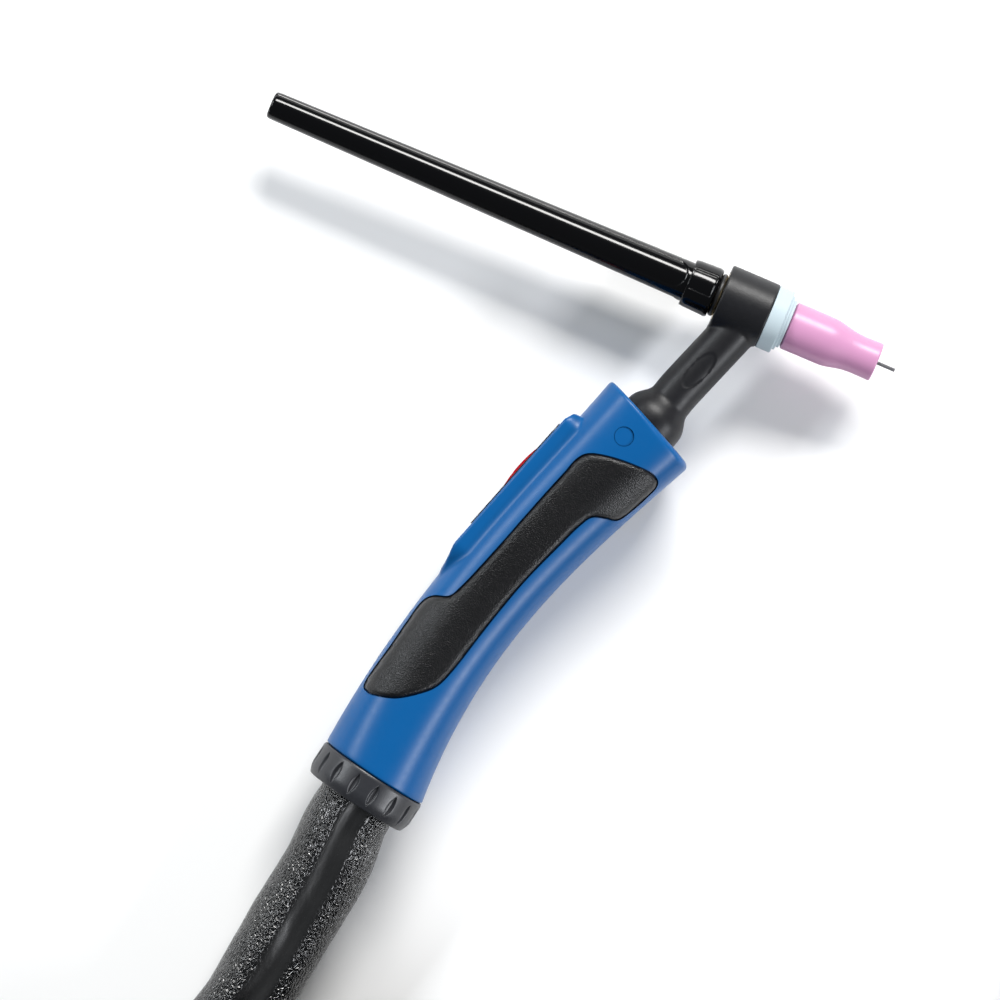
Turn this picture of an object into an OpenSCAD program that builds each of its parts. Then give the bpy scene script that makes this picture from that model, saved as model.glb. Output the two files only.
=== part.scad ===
// TIG welding torch: gas cooled, with a long back cap, a switch in the handle and a coiled hose package.
// The torch lies on its side with its electrode along +X, and Z = 0 is the surface it lies on.
// Each piece is drawn about the point where the axes of electrode and neck cross, then laid down by lay().

/* [Head] */
// Angle from the electrode's pointing direction to the neck
head_angle = 110; // [100:1:120]
// Outside diameter of the rubber head
head_d = 18.4; // [17.5:0.1:20]
// Length of the rubber head behind the neck axis
head_rear = 9.7; // [9:0.1:12]
// Length of the rubber head in front of the neck axis
head_front = 4.3; // [3.5:0.1:6]
// Rubber thickness over the brass core
head_rubber = 2.2; // [1.5:0.1:3]
// Diameter of the rubber neck
neck_d = 12.6; // [11:0.1:14]
// Length of the straight neck, from the electrode axis to the flare
neck_length = 34.3; // [30:0.1:45]
// Diameter of the flare where the neck meets the handle
boot_d = 18.4; // [16:0.1:20]
// Length of the flare
boot_length = 7.7; // [6:0.1:10]
// Outside diameter of the copper neck tube
neck_tube_d = 6.4; // [5:0.1:7]
// Bore of the copper neck tube
neck_tube_bore = 4; // [3:0.1:4.4]

/* [Electrode and collet] */
// Diameter of the electrode
electrode_d = 1.0; // [0.8:0.1:1.6]
// Length of the electrode
electrode_length = 175; // [150:1:175]
// How far the electrode stands out of the nozzle
electrode_stickout = 5.4; // [2:0.1:8]
// Outside diameter of the collet
collet_d = 3.0; // [2.6:0.1:3.4]
// Diameter of the thread that carries the nozzle
cup_thread_d = 9.2; // [8.6:0.1:9.6]
// Diameter of the thread in the head
body_thread_d = 6.8; // [6:0.1:7.6]

/* [Nozzle] */
// Largest diameter of the ceramic nozzle
nozzle_d = 13.56; // [12.8:0.01:14]
// Diameter of the nozzle's front end
nozzle_tip_d = 10.9; // [10.6:0.1:11.6]
// Diameter of the nozzle's waist
nozzle_waist_d = 10.6; // [10:0.1:11]
// Length of the nozzle
nozzle_length = 30; // [26:0.5:34]
// Gas bore of the nozzle
nozzle_bore = 8; // [7:0.1:8.6]
// Thickness of the white insulator's flange
insulator_flange = 4.35; // [3.5:0.05:5]
// Length of the white insulator's step
insulator_step = 1.65; // [1.2:0.05:3]

/* [Back cap] */
// Length of the cap behind the seal
cap_length = 132.2; // [60:0.1:134]
// Diameter of the cap's collar at its front edge
collar_d = 14.2; // [13:0.1:15]
// Length of the collar
collar_length = 8.2; // [6:0.1:12]
// Diameter of the cap body next to the collar
cap_d = 11.2; // [10.5:0.1:12]
// Diameter of the cap body at its far end
cap_end_d = 7.94; // [7.4:0.01:9]
// Depth of the long flutes in the cap
cap_flute_depth = 1.1; // [0.6:0.1:1.2]
// Thickness of the O-ring
seal_wire = 1.7; // [1.4:0.1:2]
// Diameter of the cap's thread
cap_thread_d = 9; // [8.4:0.1:9.4]
// Length of the cap's thread
cap_thread_length = 7; // [5:0.1:8]
// Bore of the cap
cap_bore = 3.4; // [2.6:0.1:4]

/* [Handle] */
// Length of the handle along its curve
handle_length = 122; // [110:1:135]
// Angle that the handle bends through
handle_bend = 9.6; // [6:0.1:14]
// Height of the handle at its front
front_height = 31.4; // [29:0.1:34]
// Height of the handle at its waist
waist_height = 27.2; // [25:0.1:30]
// Thickness of the handle at its front
front_width = 28.4; // [27:0.1:31]
// Thickness of the handle at its waist
waist_width = 26.8; // [25:0.1:29]
// Diameter of the handle's round rear end
tail_d = 31.2; // [30.8:0.1:32]
// How far the waist swells to the trigger side
belly = 3.75; // [2:0.05:5]
// Wall of the handle shells
wall = 2.6; // [2.2:0.1:3]
// Depth that the grip pads are let in
pad_depth = 1.0; // [0.6:0.1:1.2]
// Height that the grip pads stand proud
pad_proud = 0.5; // [0.3:0.1:0.8]
// Length of the grip pads
pad_length = 96.2; // [93:0.1:98]
// Distance from the handle's front to the grip pads
pad_start = 10; // [9:0.1:11]
// Diameter of the round inlays
badge_d = 5.2; // [4:0.1:6]
// Distance from the handle's front to the middle of the inlays
badge_start = 7.8; // [7:0.1:8.4]

/* [Switch] */
// Half width of the raised switch housing
housing_half = 9.4; // [8.6:0.1:10.5]
// Length of the switch frame
frame_length = 36.4; // [34:0.1:38]
// Half width of the switch frame
frame_half = 6.5; // [6:0.1:7]
// Length of the button
button_length = 15.8; // [14:0.1:18]
// Half width of the button
button_half = 4.6; // [4:0.1:5]
// Crown of the button above its frame
button_crown = 0.9; // [0.4:0.1:1.4]
// Angle that the button rocks through
button_angle = 5; // [3:0.5:5]
// Diameter of the button's pin
button_pin_d = 2; // [1.6:0.1:2.4]

/* [Rear nut] */
// Diameter of the rear nut
nut_d = 31.6; // [31:0.1:33]
// Diameter of the nut's rear edge
nut_rear_d = 29.5; // [28:0.1:31]
// Length of the rear nut
nut_length = 9.2; // [8.6:0.1:12]
// Number of flutes round the nut
nut_flutes = 16; // [12:1:20]
// Diameter of the thread on the handle's tail
tail_thread_d = 27.2; // [26.6:0.1:27.6]
// Travel of the nut when it is loosened
nut_travel = 3; // [2:0.5:4]

/* [Hose package] */
// Diameter of the leather sleeve
sleeve_d = 24; // [23:0.1:24]
// Diameter of the power cable in the handle
cable_d = 8.4; // [7.6:0.1:8.8]
// Diameter of the control cable in the handle
control_d = 4.6; // [4:0.1:5]
// Radius of the inner turns of the coil
coil_inner_r = 111; // [108:1:114]
// Diameter of the power lead behind its plug
power_lead_d = 13; // [12:0.1:13.6]
// Diameter of the control lead
control_lead_d = 5; // [4:0.1:5.6]

/* [Plugs] */
// Diameter of the plug's contact pin
plug_pin_d = 9; // [8:0.1:10]
// Length of the plain part of the pin
plug_pin_length = 18; // [14:1:22]
// Diameter of the rubber boot on the power plug
plug_boot_d = 30; // [28:0.5:32]
// Length of the rubber boot on the power plug
plug_boot_length = 50; // [45:1:60]
// Diameter of the control plug's coupling ring
ring_d = 18.8; // [17:0.1:20]
// Number of contacts in the control plug
contact_count = 4; // [3:1:5]

/* [Hidden] */
$fn = 64;

// Clearances
fit = 0.05;      // running fit of turned pieces, on the radius
slip = 0.1;      // assembly clearance, on the radius or per side
loose = 0.3;     // gap between pieces that move past each other
eps = 0.01;

// Along the electrode axis
head_r = head_d / 2;
core_r = head_r - head_rubber;
insulator_x = head_front;
step_x = insulator_x + insulator_flange;
step_end = step_x + insulator_step;
socket_depth = 3.6;                      // how deep the nozzle sits in the insulator
nozzle_x = step_end - socket_depth;
nozzle_end = nozzle_x + nozzle_length;
shank_d = nozzle_d - 2.3;
tip_x = nozzle_end + electrode_stickout;
seal_x = -head_rear;
cap_x = seal_x - seal_wire;
cap_end = cap_x - cap_length;
cup_thread_end = nozzle_x + 8.8;
collet_body_end = cup_thread_end + 11.5;
collet_rear = -5.5;
collet_r = collet_d / 2;
cup_thread_r = cup_thread_d / 2;

// Along the neck
socket_x = core_r - 0.5;                 // where the neck tube starts in the core
socket_end = core_r + 2;
neck_start = core_r - 1.8;               // the rubber neck starts inside the rubber head
boot_end = neck_length + boot_length;
handle_x = boot_end;
front_wall = 4.8;
collar_x = handle_x + front_wall + 0.2;  // flange of the rubber behind the handle's front wall
cover_end = collar_x + 3;
tube_end = cover_end + 5;
coupling_end = cover_end + 14;
coupling_d = 12;

// Handle: the spine is one arc, from the front face to the tail
spine_r = handle_length / (handle_bend * PI / 180);
spine_lift = 0.5;
waist_at = 0.55;
belly_at = 0.6;
squareness = 0.7;
arc_steps = 14;
rim = 0.9;
far = 2 * (handle_x + handle_length);    // beyond the whole handle
pad_from = 0.055;
pad_to = 0.9;
wall_share = front_wall / handle_length;
handle_stations = concat(
    [0, 0.2 * wall_share, 0.75 * wall_share, wall_share, 1.03 * wall_share],
    [
        0.055, 0.09, 0.13, 0.19, 0.25, 0.32, 0.4, 0.48, 0.56, 0.64, 0.72, 0.8, 0.86, 0.9, 0.94, 0.97, 1
    ]
);

// Screws: share of the handle's length, and place in its section
screw_front = [0.127, front_height * 0.287];
screw_rear = [0.72, -front_height * 0.37];
boss_r = 2.6;
screw_r = 1.3;
screw_head_r = 2.4;
screw_head = 2;

// Cables in the handle: how far off its spine they end
cable_off = 1.5;
control_off = -6.6;

// Rear nut, in the tail's frame with X = 0 at the end of the shells
nut_gap = loose;
nut_rear_x = nut_gap + nut_length;
thread_end = nut_travel + 2;             // two millimetres still hold the nut when it is loosened
lip = 1.6;
sleeve_r = sleeve_d / 2;
sleeve_start = -3;
nut_opening_r = sleeve_r + 0.2;
tail_dir = handle_bend - head_angle;

// Place of the torch on the surface: centred on its own box, its nut resting on Z = 0
function spine(t) = [
    handle_x + spine_r * sin(handle_bend * t),
    spine_lift + spine_r * (1 - cos(handle_bend * t))
];
function turned(p, a) = [p.x * cos(a) - p.y * sin(a), p.x * sin(a) + p.y * cos(a)];
tail_point = turned(spine(1), -head_angle);
nut_corner = tail_point + turned([nut_rear_x, -nut_rear_d / 2], tail_dir);
nut_other = tail_point + turned([nut_rear_x, nut_rear_d / 2], tail_dir);
low_y = min(nut_corner.y, nut_other.y);
mid_x = (tip_x + cap_end) / 2;
mid_y = (head_r + low_y) / 2;
rest_z = nut_d / 2;

// Switch housing, in its own frame: X along the handle, Y out of the trigger side
housing_at = 79;
housing_out = 16.86;
housing_tilt = 1.4;
frame_x = -20;
frame_depth = 8.1;
floor_thick = 1.1;
button_x = -12;
button_gap = 0.5;
button_pin_x = button_x + button_length - 2;
button_pin_y = -4;
stem_x = button_x + 4;
stem_r = 1;
stem_low = -6.05;
plunger_r = 1.1;
switch_height = 4.4;
plunger_length = 3.8;
plunger_end = stem_low - fit - plunger_length;
press_travel = (button_pin_x - stem_x) * sin(button_angle);
leads_start = stem_x + 6;
leads_end = 21;
leads_y = -frame_depth - switch_height / 2 - 1;

// Hose package on the surface. The route's points are [x, y, z] of its centre.
coil_centre = [97, -271];
coil_outer_r = coil_inner_r + sleeve_d;
coil_mid_r = (coil_inner_r + coil_outer_r) / 2;
coil_low = 2 * sleeve_d;
coil_top = 69;
run_points = [
    [5.4, -74.3, 15.8], [3.2, -86.6, 15.8], [2.2, -92, 15.8], [1.9, -99, 15], [1.5, -109, 13.6],
    [0.4, -122, 12.3], [-1.4, -136, 12], [-4.2, -149.5, 12], [-9.6, -164, 12], [-17, -180, 12],
    [-25.2, -200, 12], [-32, -224, 12], [-36.6, -251.3, 12]
];
tail_points = [
    [220, -271, 56.8], [220.2, -259, 57.6], [221.6, -247, 59.8], [224, -235, 62.5], [226.3, -223, 64],
    [227.9, -211, 62.9], [228.7, -199, 59.4], [229, -187, 53.8], [229, -175, 46], [229, -163, 36.3],
    [229, -151, 27.4], [229, -139, 21], [229, -127, 16.7], [229, -115, 14.7], [229, -103, 14.5],
    [229, -84, 14.5]
];
lead_x = 229;
lead_z = 14.5;
power_offset = 3.5;
control_offset = -7;
power_points = [
    [232.5, -54, 14.5], [232.5, -45.5, 14.5], [232.4, -37, 13.5], [232.1, -28.5, 10.6], [231.4, -20, 7.7],
    [230.4, -11.5, 6.7], [229.4, -3, 7.7], [228.6, 5.5, 10.8], [228.1, 14.5, 14], [228, 23, 15],
    [228, 33, 15]
];
control_points = [
    [222, -54, 14.5], [222, -45.3, 14.5], [220.8, -36.5, 13.2], [217.4, -27.8, 9.2], [212.5, -20, 5],
    [206.8, -11.3, 2.7], [202.2, -2.5, 2.6], [199.4, 6.2, 3.9], [198.4, 14, 7], [198, 21, 9.1],
    [198, 28, 9.4], [198, 35, 9.4]
];
boot_start = -102;
boot_front = -48;
boot_r = 14.5;
boot_front_r = 11.6;
plug_at = [228, 23, plug_boot_d / 2];
control_at = [198, 25, ring_d / 2];

// Outline of a grip pad that is 96.2 long, in the plane of the torch: X from the pad's front end along the
// neck, Y away from the trigger
drawn_length = 96.2;
drawn_pad = [
    [6.3, -4.2], [3.5, 0.7], [1.1, 6.5], [0, 10.6], [1.2, 13.4], [5.6, 13.8], [11, 13.3], [15.4, 12.2],
    [17.4, 9], [19.8, 5.9], [24, 5], [31.3, 4.3], [44.1, 3.8], [54.8, 4.6], [63.5, 6.1], [75.2, 6.4],
    [86.3, 4.6], [91.8, 1.1], [95, -3.2], [96.2, -6], [94.4, -8], [82.3, -9.8], [74.6, -11.6],
    [68.4, -11.7], [65, -10.3], [62, -7], [58.2, -6.2], [50.6, -5.9], [40, -6.2], [32.8, -6.7],
    [23.2, -6.4], [15.8, -6.5], [11.6, -7.3], [8.6, -6.6]
];
pad_outline = [for (p = drawn_pad) p * pad_length / drawn_length + [handle_x + pad_start, 0]];
badge_at = [handle_x + badge_start, -badge_d * 0.44];

// ---------------------------------------------------------------- frames

// Puts a piece drawn about the crossing of the axes where the torch lies
module lay() {
    translate([-mid_x, -mid_y, rest_z]) children();
}

// Frame of the neck: X along the neck towards the handle, Y away from the trigger
module on_neck() {
    rotate([0, 0, -head_angle]) children();
}

// Frame of the tail: X along the nut's axis, starting at the end of the shells
module on_tail() {
    on_neck() translate([spine(1).x, spine(1).y, 0]) rotate([0, 0, handle_bend]) children();
}

// Frame of the switch housing: X along the handle, Y out of the trigger side
module on_housing() {
    on_neck() translate([housing_at, -housing_out, 0]) rotate([180, 0, 0]) rotate([0, 0, -housing_tilt])
        children();
}

// Round bar along X from a to b
module bar_x(a, b, r) {
    translate([a, 0, 0]) rotate([0, 90, 0]) cylinder(h = b - a, r = r);
}

// Turned piece along X from a profile of [radius, x] points
module turned_x(profile) {
    rotate([0, 90, 0]) rotate_extrude() polygon(profile);
}

// Turned piece along Y, standing at a point
module turned_y(at, profile) {
    translate(at) rotate([-90, 0, 0]) rotate_extrude() polygon(profile);
}

// Bar along Z from a to b at a point of the plane
module bar_z(at, a, b, r) {
    translate([at.x, at.y, a]) cylinder(h = b - a, r = r);
}

// Box from its lowest to its highest corner
module block(low, high) {
    translate(low) cube(high - low);
}

// ---------------------------------------------------------------- curves

function blend(a, b, t) = a + (b - a) * t;
function clamp01(t) = min(1, max(0, t));

// A smooth curve through points: the point at a share u of the stretch from p1 to p2
function through(p0, p1, p2, p3, u) =
    0.5 * ((2 * p1) + (p2 - p0) * u + (2 * p0 - 5 * p1 + 4 * p2 - p3) * u * u
        + (3 * p1 - p0 - 3 * p2 + p3) * u * u * u);
function loop_through(p, steps) = [
    for (i = [0 : len(p) - 1]) for (k = [0 : steps - 1])
        let (n = len(p))
        through(p[(i + n - 1) % n], p[i], p[(i + 1) % n], p[(i + 2) % n], k / steps)
];

// Moves each point of a closed outline outwards by d
function grown(p, d) = [
    for (i = [0 : len(p) - 1])
        let (n = len(p), a = p[(i + 1) % n] - p[(i + n - 1) % n], m = norm(a))
        p[i] + d * [-a.y, a.x] / m
];

// Height, width, place and squareness of the handle's section at a share t of its length
function half_height(t) = t < waist_at
    ? blend(waist_height, front_height, pow(1 - t / waist_at, 2)) / 2
    : blend(waist_height, tail_d, pow((t - waist_at) / (1 - waist_at), 2)) / 2;
function half_width(t) = t < waist_at
    ? blend(waist_width, front_width, pow(1 - t / waist_at, 2)) / 2
    : blend(waist_width, tail_d, pow((t - waist_at) / (1 - waist_at), 2)) / 2;
function shift(t) = t < belly_at
    ? -belly * pow(sin(90 * t / belly_at), 1.6)
    : -belly * (1 - pow((t - belly_at) / (1 - belly_at), 2));
function power(t) = 2 + squareness * (1 - pow(clamp01(t), 2));

// A point of the section at angle a, drawn in by inset: 0 is away from the trigger, 90 is the side
function section_point(t, inset, a) =
    let (
        q = 2 / power(t),
        y = shift(t) + (half_height(t) - inset) * sign(cos(a)) * pow(abs(cos(a)), q),
        z = (half_width(t) - inset) * pow(abs(sin(a)), q),
        c = spine(t),
        b = handle_bend * t
    )
    [c.x - y * sin(b), c.y + y * cos(b), z];

// Half the thickness of the handle at a place y of its section
function side_at(t, y, inset) =
    let (n = power(t), x = abs(y - shift(t)) / (half_height(t) - inset))
    (half_width(t) - inset) * pow(1 - pow(x, n), 1 / n);

// A point in the neck's frame at a share t of the handle and a place y of its section
function in_section(t, y) = [
    spine(t).x - y * sin(handle_bend * t),
    spine(t).y + y * cos(handle_bend * t)
];

// Closed band between an outer and an inner line of points, ring by ring. Each ring runs out along the
// outer line and back along the inner one.
module band(rings) {
    n = len(rings[0]);
    h = n / 2;
    last = (len(rings) - 1) * n;
    sides = [
        for (i = [0 : len(rings) - 2]) for (j = [0 : n - 1])
            let (a = i * n + j, b = i * n + (j + 1) % n, c = a + n, d = b + n)
            each [[a, c, b], [b, c, d]]
    ];
    front = [for (j = [0 : h - 2]) each [[j, j + 1, n - 2 - j], [j, n - 2 - j, n - 1 - j]]];
    back = [for (j = [0 : h - 2]) each [[last + j, last + n - 2 - j, last + j + 1],
                                        [last + j, last + n - 1 - j, last + n - 2 - j]]];
    polyhedron(points = [for (r = rings) each r], faces = concat(sides, front, back), convexity = 8);
}

// Round tube swept along points, with one ring at each and one between
module swept(points, d, sides) {
    n = len(points);
    line = [
        for (i = [0 : n - 2]) for (u = [0, 0.5])
            through(points[max(0, i - 1)], points[i], points[i + 1], points[min(n - 1, i + 2)], u),
        points[n - 1]
    ];
    m = len(line);
    rings = [
        for (i = [0 : m - 1])
            let (
                way = line[min(m - 1, i + 1)] - line[max(0, i - 1)],
                ahead = way / norm(way),
                level = cross(ahead, [0, 0, 1]),
                side = level / norm(level),
                up = cross(side, ahead)
            )
            [
                for (k = [0 : sides - 1])
                    let (turn = k * 360 / sides)
                    line[i] + d / 2 * (side * cos(turn) + up * sin(turn))
            ]
    ];
    walls = [
        for (i = [0 : m - 2]) for (k = [0 : sides - 1])
            let (a = i * sides + k, b = i * sides + (k + 1) % sides)
            each [[a, b, a + sides], [b, b + sides, a + sides]]
    ];
    start = [[for (k = [sides - 1 : -1 : 0]) k]];
    end = [[for (k = [0 : sides - 1]) (m - 1) * sides + k]];
    polyhedron(points = [for (r = rings) each r], faces = concat(walls, start, end), convexity = 6);
}

// ---------------------------------------------------------------- head

module electrode() {
    color("silver") lay() bar_x(tip_x - electrode_length, tip_x, electrode_d / 2);
}

module collet() {
    bore = electrode_d / 2 + fit;
    front = collet_body_end - 1;
    color("peru") lay() difference() {
        union() {
            bar_x(collet_rear, front - 4, collet_r);
            turned_x([[0, front - 4], [collet_r, front - 4], [bore + 0.5, front], [0, front]]);
        }
        bar_x(collet_rear - 1, front + 1, bore);
        for (a = [0, 90])
            rotate([a, 0, 0]) block([front - 12, -0.15, -collet_d], [front + 1, 0.15, collet_d]);
    }
}

module collet_body() {
    bore = collet_r + fit;
    barrel_r = bore + 1.4;
    nose_bore = electrode_d / 2 + 0.4;
    thread_x = insulator_x + loose;
    color("darkgoldenrod") lay() difference() {
        turned_x([
            [0, -1], [body_thread_d / 2, -1], [body_thread_d / 2, thread_x], [cup_thread_r, thread_x],
            [cup_thread_r, cup_thread_end], [barrel_r, cup_thread_end + 0.8], [barrel_r, collet_body_end - 3],
            [nose_bore + 0.7, collet_body_end], [0, collet_body_end]
        ]);
        bar_x(-2, collet_body_end - 1 + slip, bore);
        bar_x(-2, collet_body_end + 1, nose_bore);
        for (a = [0 : 90 : 270])
            rotate([a, 0, 0]) bar_z([cup_thread_end + 3.4, 0], 0, cup_thread_d, 0.8);
    }
}

module nozzle() {
    r = nozzle_d / 2;
    tip = nozzle_tip_d / 2;
    waist = nozzle_waist_d / 2;
    shoulder = nozzle_end - 13.5;
    color("plum") lay() difference() {
        turned_x([
            [0, nozzle_x], [shank_d / 2, nozzle_x], [shank_d / 2, step_end + 0.1], [r, step_end + 0.6],
            [r, shoulder], [r - 0.25, shoulder + 1.4], [waist + 0.5, nozzle_end - 9.4],
            [waist + 0.1, nozzle_end - 8], [waist, nozzle_end - 6.6], [tip, nozzle_end - 0.6],
            [tip - 0.6, nozzle_end], [0, nozzle_end]
        ]);
        bar_x(nozzle_x - 1, cup_thread_end + 0.5, cup_thread_r + fit);
        bar_x(nozzle_x, nozzle_end + 1, nozzle_bore / 2);
    }
}

module cup_insulator() {
    color("white") lay() difference() {
        turned_x([
            [0, insulator_x], [head_r - 0.1, insulator_x],
            [head_r - 0.1, step_x - 0.3], [head_r - 0.4, step_x],
            [nozzle_d / 2 + 0.05, step_x], [nozzle_d / 2 + 0.05, step_end], [0, step_end]
        ]);
        bar_x(insulator_x - 1, step_end + 1, cup_thread_r + fit);
        bar_x(nozzle_x, step_end + 1, shank_d / 2 + fit);
    }
}

module head_core() {
    color("darkgoldenrod") lay() difference() {
        union() {
            bar_x(-head_rear, head_front, core_r);
            on_neck() bar_x(0, socket_end, neck_tube_d / 2 + 1.4);
        }
        bar_x(-1 - slip, head_front + 1, body_thread_d / 2 + fit);
        bar_x(-head_rear - 1, head_front + 1, collet_r + 0.3);
        bar_x(-head_rear - 1, -head_rear + cap_thread_length + 0.2, cap_thread_d / 2 + fit);
        on_neck() bar_x(socket_x, socket_x + 10, neck_tube_d / 2 + fit);
    }
}

module neck_tube() {
    color("peru") lay() on_neck() difference() {
        bar_x(socket_x + slip, tube_end, neck_tube_d / 2);
        bar_x(0, tube_end + 1, neck_tube_bore / 2);
    }
}

module head_cover() {
    flare = boot_d / 2 - neck_d / 2;
    neck_r = neck_d / 2;
    shank_r = boot_d / 2 - 1.2;
    color([0.16, 0.16, 0.17]) lay() difference() {
        union() {
            turned_x([
                [0, -head_rear], [head_r - 0.4, -head_rear], [head_r, -head_rear + 0.4],
                [head_r, head_front], [0, head_front]
            ]);
            on_neck() turned_x([
                [0, neck_start], [neck_r, neck_start], [neck_r, neck_length],
                [neck_r + flare * 0.2, neck_length + boot_length * 0.2],
                [neck_r + flare * 0.62, neck_length + boot_length * 0.46],
                [neck_r + flare * 0.9, neck_length + boot_length * 0.68],
                [neck_r + flare, neck_length + boot_length * 0.86], [neck_r + flare, boot_end - slip],
                [shank_r, boot_end - slip], [shank_r, collar_x], [boot_d / 2, collar_x],
                [boot_d / 2, cover_end], [0, cover_end]
            ]);
        }
        bar_x(-head_rear - 1, head_front + 1, core_r);
        on_neck() bar_x(0, socket_end, neck_tube_d / 2 + 1.4);
        on_neck() bar_x(0, cover_end + 1, neck_tube_d / 2);
    }
}

module back_cap_seal() {
    ring_r = cap_thread_d / 2 + seal_wire / 2;
    color([0.1, 0.1, 0.1]) lay() translate([cap_x + seal_wire / 2, 0, 0]) rotate([0, 90, 0]) rotate_extrude()
        translate([ring_r, 0]) circle(r = seal_wire / 2 - fit, $fn = 32);
}

// The cap's body is fluted on four sides; each flute runs along the taper and ends before the collar
module back_cap() {
    r = cap_d / 2;
    end_r = cap_end_d / 2;
    collar_r = collar_d / 2;
    body_x = cap_x - collar_length;
    cutter_r = 14;
    slope = atan((r - end_r) / (body_x - cap_end));
    color([0.07, 0.07, 0.08]) lay() difference() {
        union() {
            turned_x([
                [0, cap_end], [end_r - 0.8, cap_end], [end_r, cap_end + 0.9], [r, body_x],
                [collar_r - 0.5, body_x], [collar_r - 0.3, body_x + 0.6], [collar_r, cap_x - 1],
                [collar_r - 0.35, cap_x], [0, cap_x]
            ]);
            bar_x(cap_x - 1, -head_rear + cap_thread_length, cap_thread_d / 2);
        }
        bar_x(cap_end + 2, cap_thread_length, cap_bore / 2);
        for (a = [0 : 90 : 270])
            rotate([a, 0, 0]) translate([body_x - 2, 0, r + cutter_r - cap_flute_depth]) rotate([0, slope, 0])
                bar_x(cap_end - body_x - 3, 0, cutter_r);
    }
}

// ---------------------------------------------------------------- handle

// One half of the shell, on the +Z side, without its fittings
module half_shell() {
    hole_r = boot_d / 2 - 3;
    band([
        for (t = handle_stations)
            let (solid_front = t <= 1.01 * wall_share, out = t == 0 ? rim : 0)
            concat(
                [for (k = [0 : arc_steps]) section_point(t, out, 180 * k / arc_steps)],
                [
                    for (k = [arc_steps : -1 : 0])
                        let (a = 180 * k / arc_steps)
                        solid_front
                            ? [spine(t).x, hole_r * cos(a), hole_r * sin(a)]
                            : section_point(t, wall, a)
                ]
            )
    ]);
}

// A skin over the side of the handle, between two depths under its surface
module side_skin(top, bottom) {
    from = 24;
    to = 180 - from;
    steps = 11;
    band([
        for (t = handle_stations)
            if (t >= pad_from - 0.001 && t <= pad_to + 0.001)
            concat(
                [for (k = [0 : steps]) section_point(t, top, blend(from, to, k / steps))],
                [for (k = [steps : -1 : 0]) section_point(t, bottom, blend(from, to, k / steps))]
            )
    ]);
}

// The pad's outline, cut out of a skin over the handle's side
module pad_shape(gap, top, bottom) {
    intersection() {
        side_skin(top, bottom);
        translate([0, 0, 1]) linear_extrude(height = front_width)
            polygon(grown(loop_through(pad_outline, 2), gap));
    }
}

// Raised housing round the switch, as a prism through the whole handle
module housing_block() {
    on_housing() translate([0, 0, -housing_half]) linear_extrude(height = 2 * housing_half)
        polygon([
            [-24.8, -6], [-24.8, -1.2], [-24, -0.6], [-21.5, 0],
            [23.5, 0], [31.5, -2.4], [33.5, -4], [33.5, -6]
        ]);
}

// Where the screws' heads end, just inside the shell's wall
function screw_seat(s) = side_at(s[0], s[1], wall) - 0.6;

// Both halves of the shell start here: +Z side, with the housing, the tail thread and the bosses
module shell_blank() {
    on_neck() half_shell();
    intersection() {
        housing_block();
        on_neck() block([0, -far, 0], [far, 0, far]);
    }
    intersection() {
        on_tail() bar_x(-5, thread_end, tail_thread_d / 2);
        on_neck() block([0, -far, 0], [far, far, far]);
    }
    on_neck() for (s = [screw_front, screw_rear])
        bar_z(in_section(s[0], s[1]), 0, screw_seat(s) + 1, boss_r);
}

// What is cut from either half
module shell_cuts() {
    on_neck() bar_x(handle_x - 1, collar_x, boot_d / 2 - 1.2 + slip);
    on_tail() bar_x(-6, thread_end + 1, sleeve_r + slip);
    on_housing() block([frame_x, -frame_depth - 0.4, -frame_half - slip],
                       [frame_x + frame_length + 2 * slip, 3, frame_half + slip]);
    on_neck() pad_shape(slip, -2, pad_depth);
    on_neck() bar_z(badge_at, side_at(pad_from, badge_at.y, 0) - 1.2, front_width, badge_d / 2 + fit);
}

module handle_left() {
    color([0, 0.33, 0.63]) lay() difference() {
        shell_blank();
        shell_cuts();
        on_neck() for (s = [screw_front, screw_rear])
            bar_z(in_section(s[0], s[1]), -1, 6, screw_r + fit);
    }
}

module handle_right() {
    color([0, 0.33, 0.63]) lay() mirror([0, 0, 1]) difference() {
        shell_blank();
        shell_cuts();
        on_neck() for (s = [screw_front, screw_rear]) {
            bar_z(in_section(s[0], s[1]), -1, front_width, screw_r + slip);
            bar_z(in_section(s[0], s[1]), screw_seat(s) - screw_head, front_width, screw_head_r + slip);
        }
    }
}

module grip_pad_left() {
    color([0.1, 0.1, 0.11]) lay() on_neck() pad_shape(0, -pad_proud, pad_depth);
}

module grip_pad_right() {
    color([0.1, 0.1, 0.11]) lay() mirror([0, 0, 1]) on_neck() pad_shape(0, -pad_proud, pad_depth);
}

module handle_badges() {
    top = side_at(pad_from, badge_at.y, 0);
    color([0, 0.3, 0.58]) lay() for (m = [0, 1])
        mirror([0, 0, m]) on_neck() bar_z(badge_at, top - 1.2, top - 0.4, badge_d / 2);
}

module handle_screws() {
    color("silver") lay() mirror([0, 0, 1]) on_neck() for (s = [screw_front, screw_rear])
        difference() {
            union() {
                bar_z(in_section(s[0], s[1]), -5, screw_seat(s) - screw_head + eps, screw_r);
                bar_z(in_section(s[0], s[1]), screw_seat(s) - screw_head, screw_seat(s), screw_head_r);
            }
            translate([0, 0, screw_seat(s) - 1.2]) linear_extrude(height = 2)
                translate(in_section(s[0], s[1])) circle(r = 1.3, $fn = 6);
        }
}

// ---------------------------------------------------------------- switch

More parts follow.
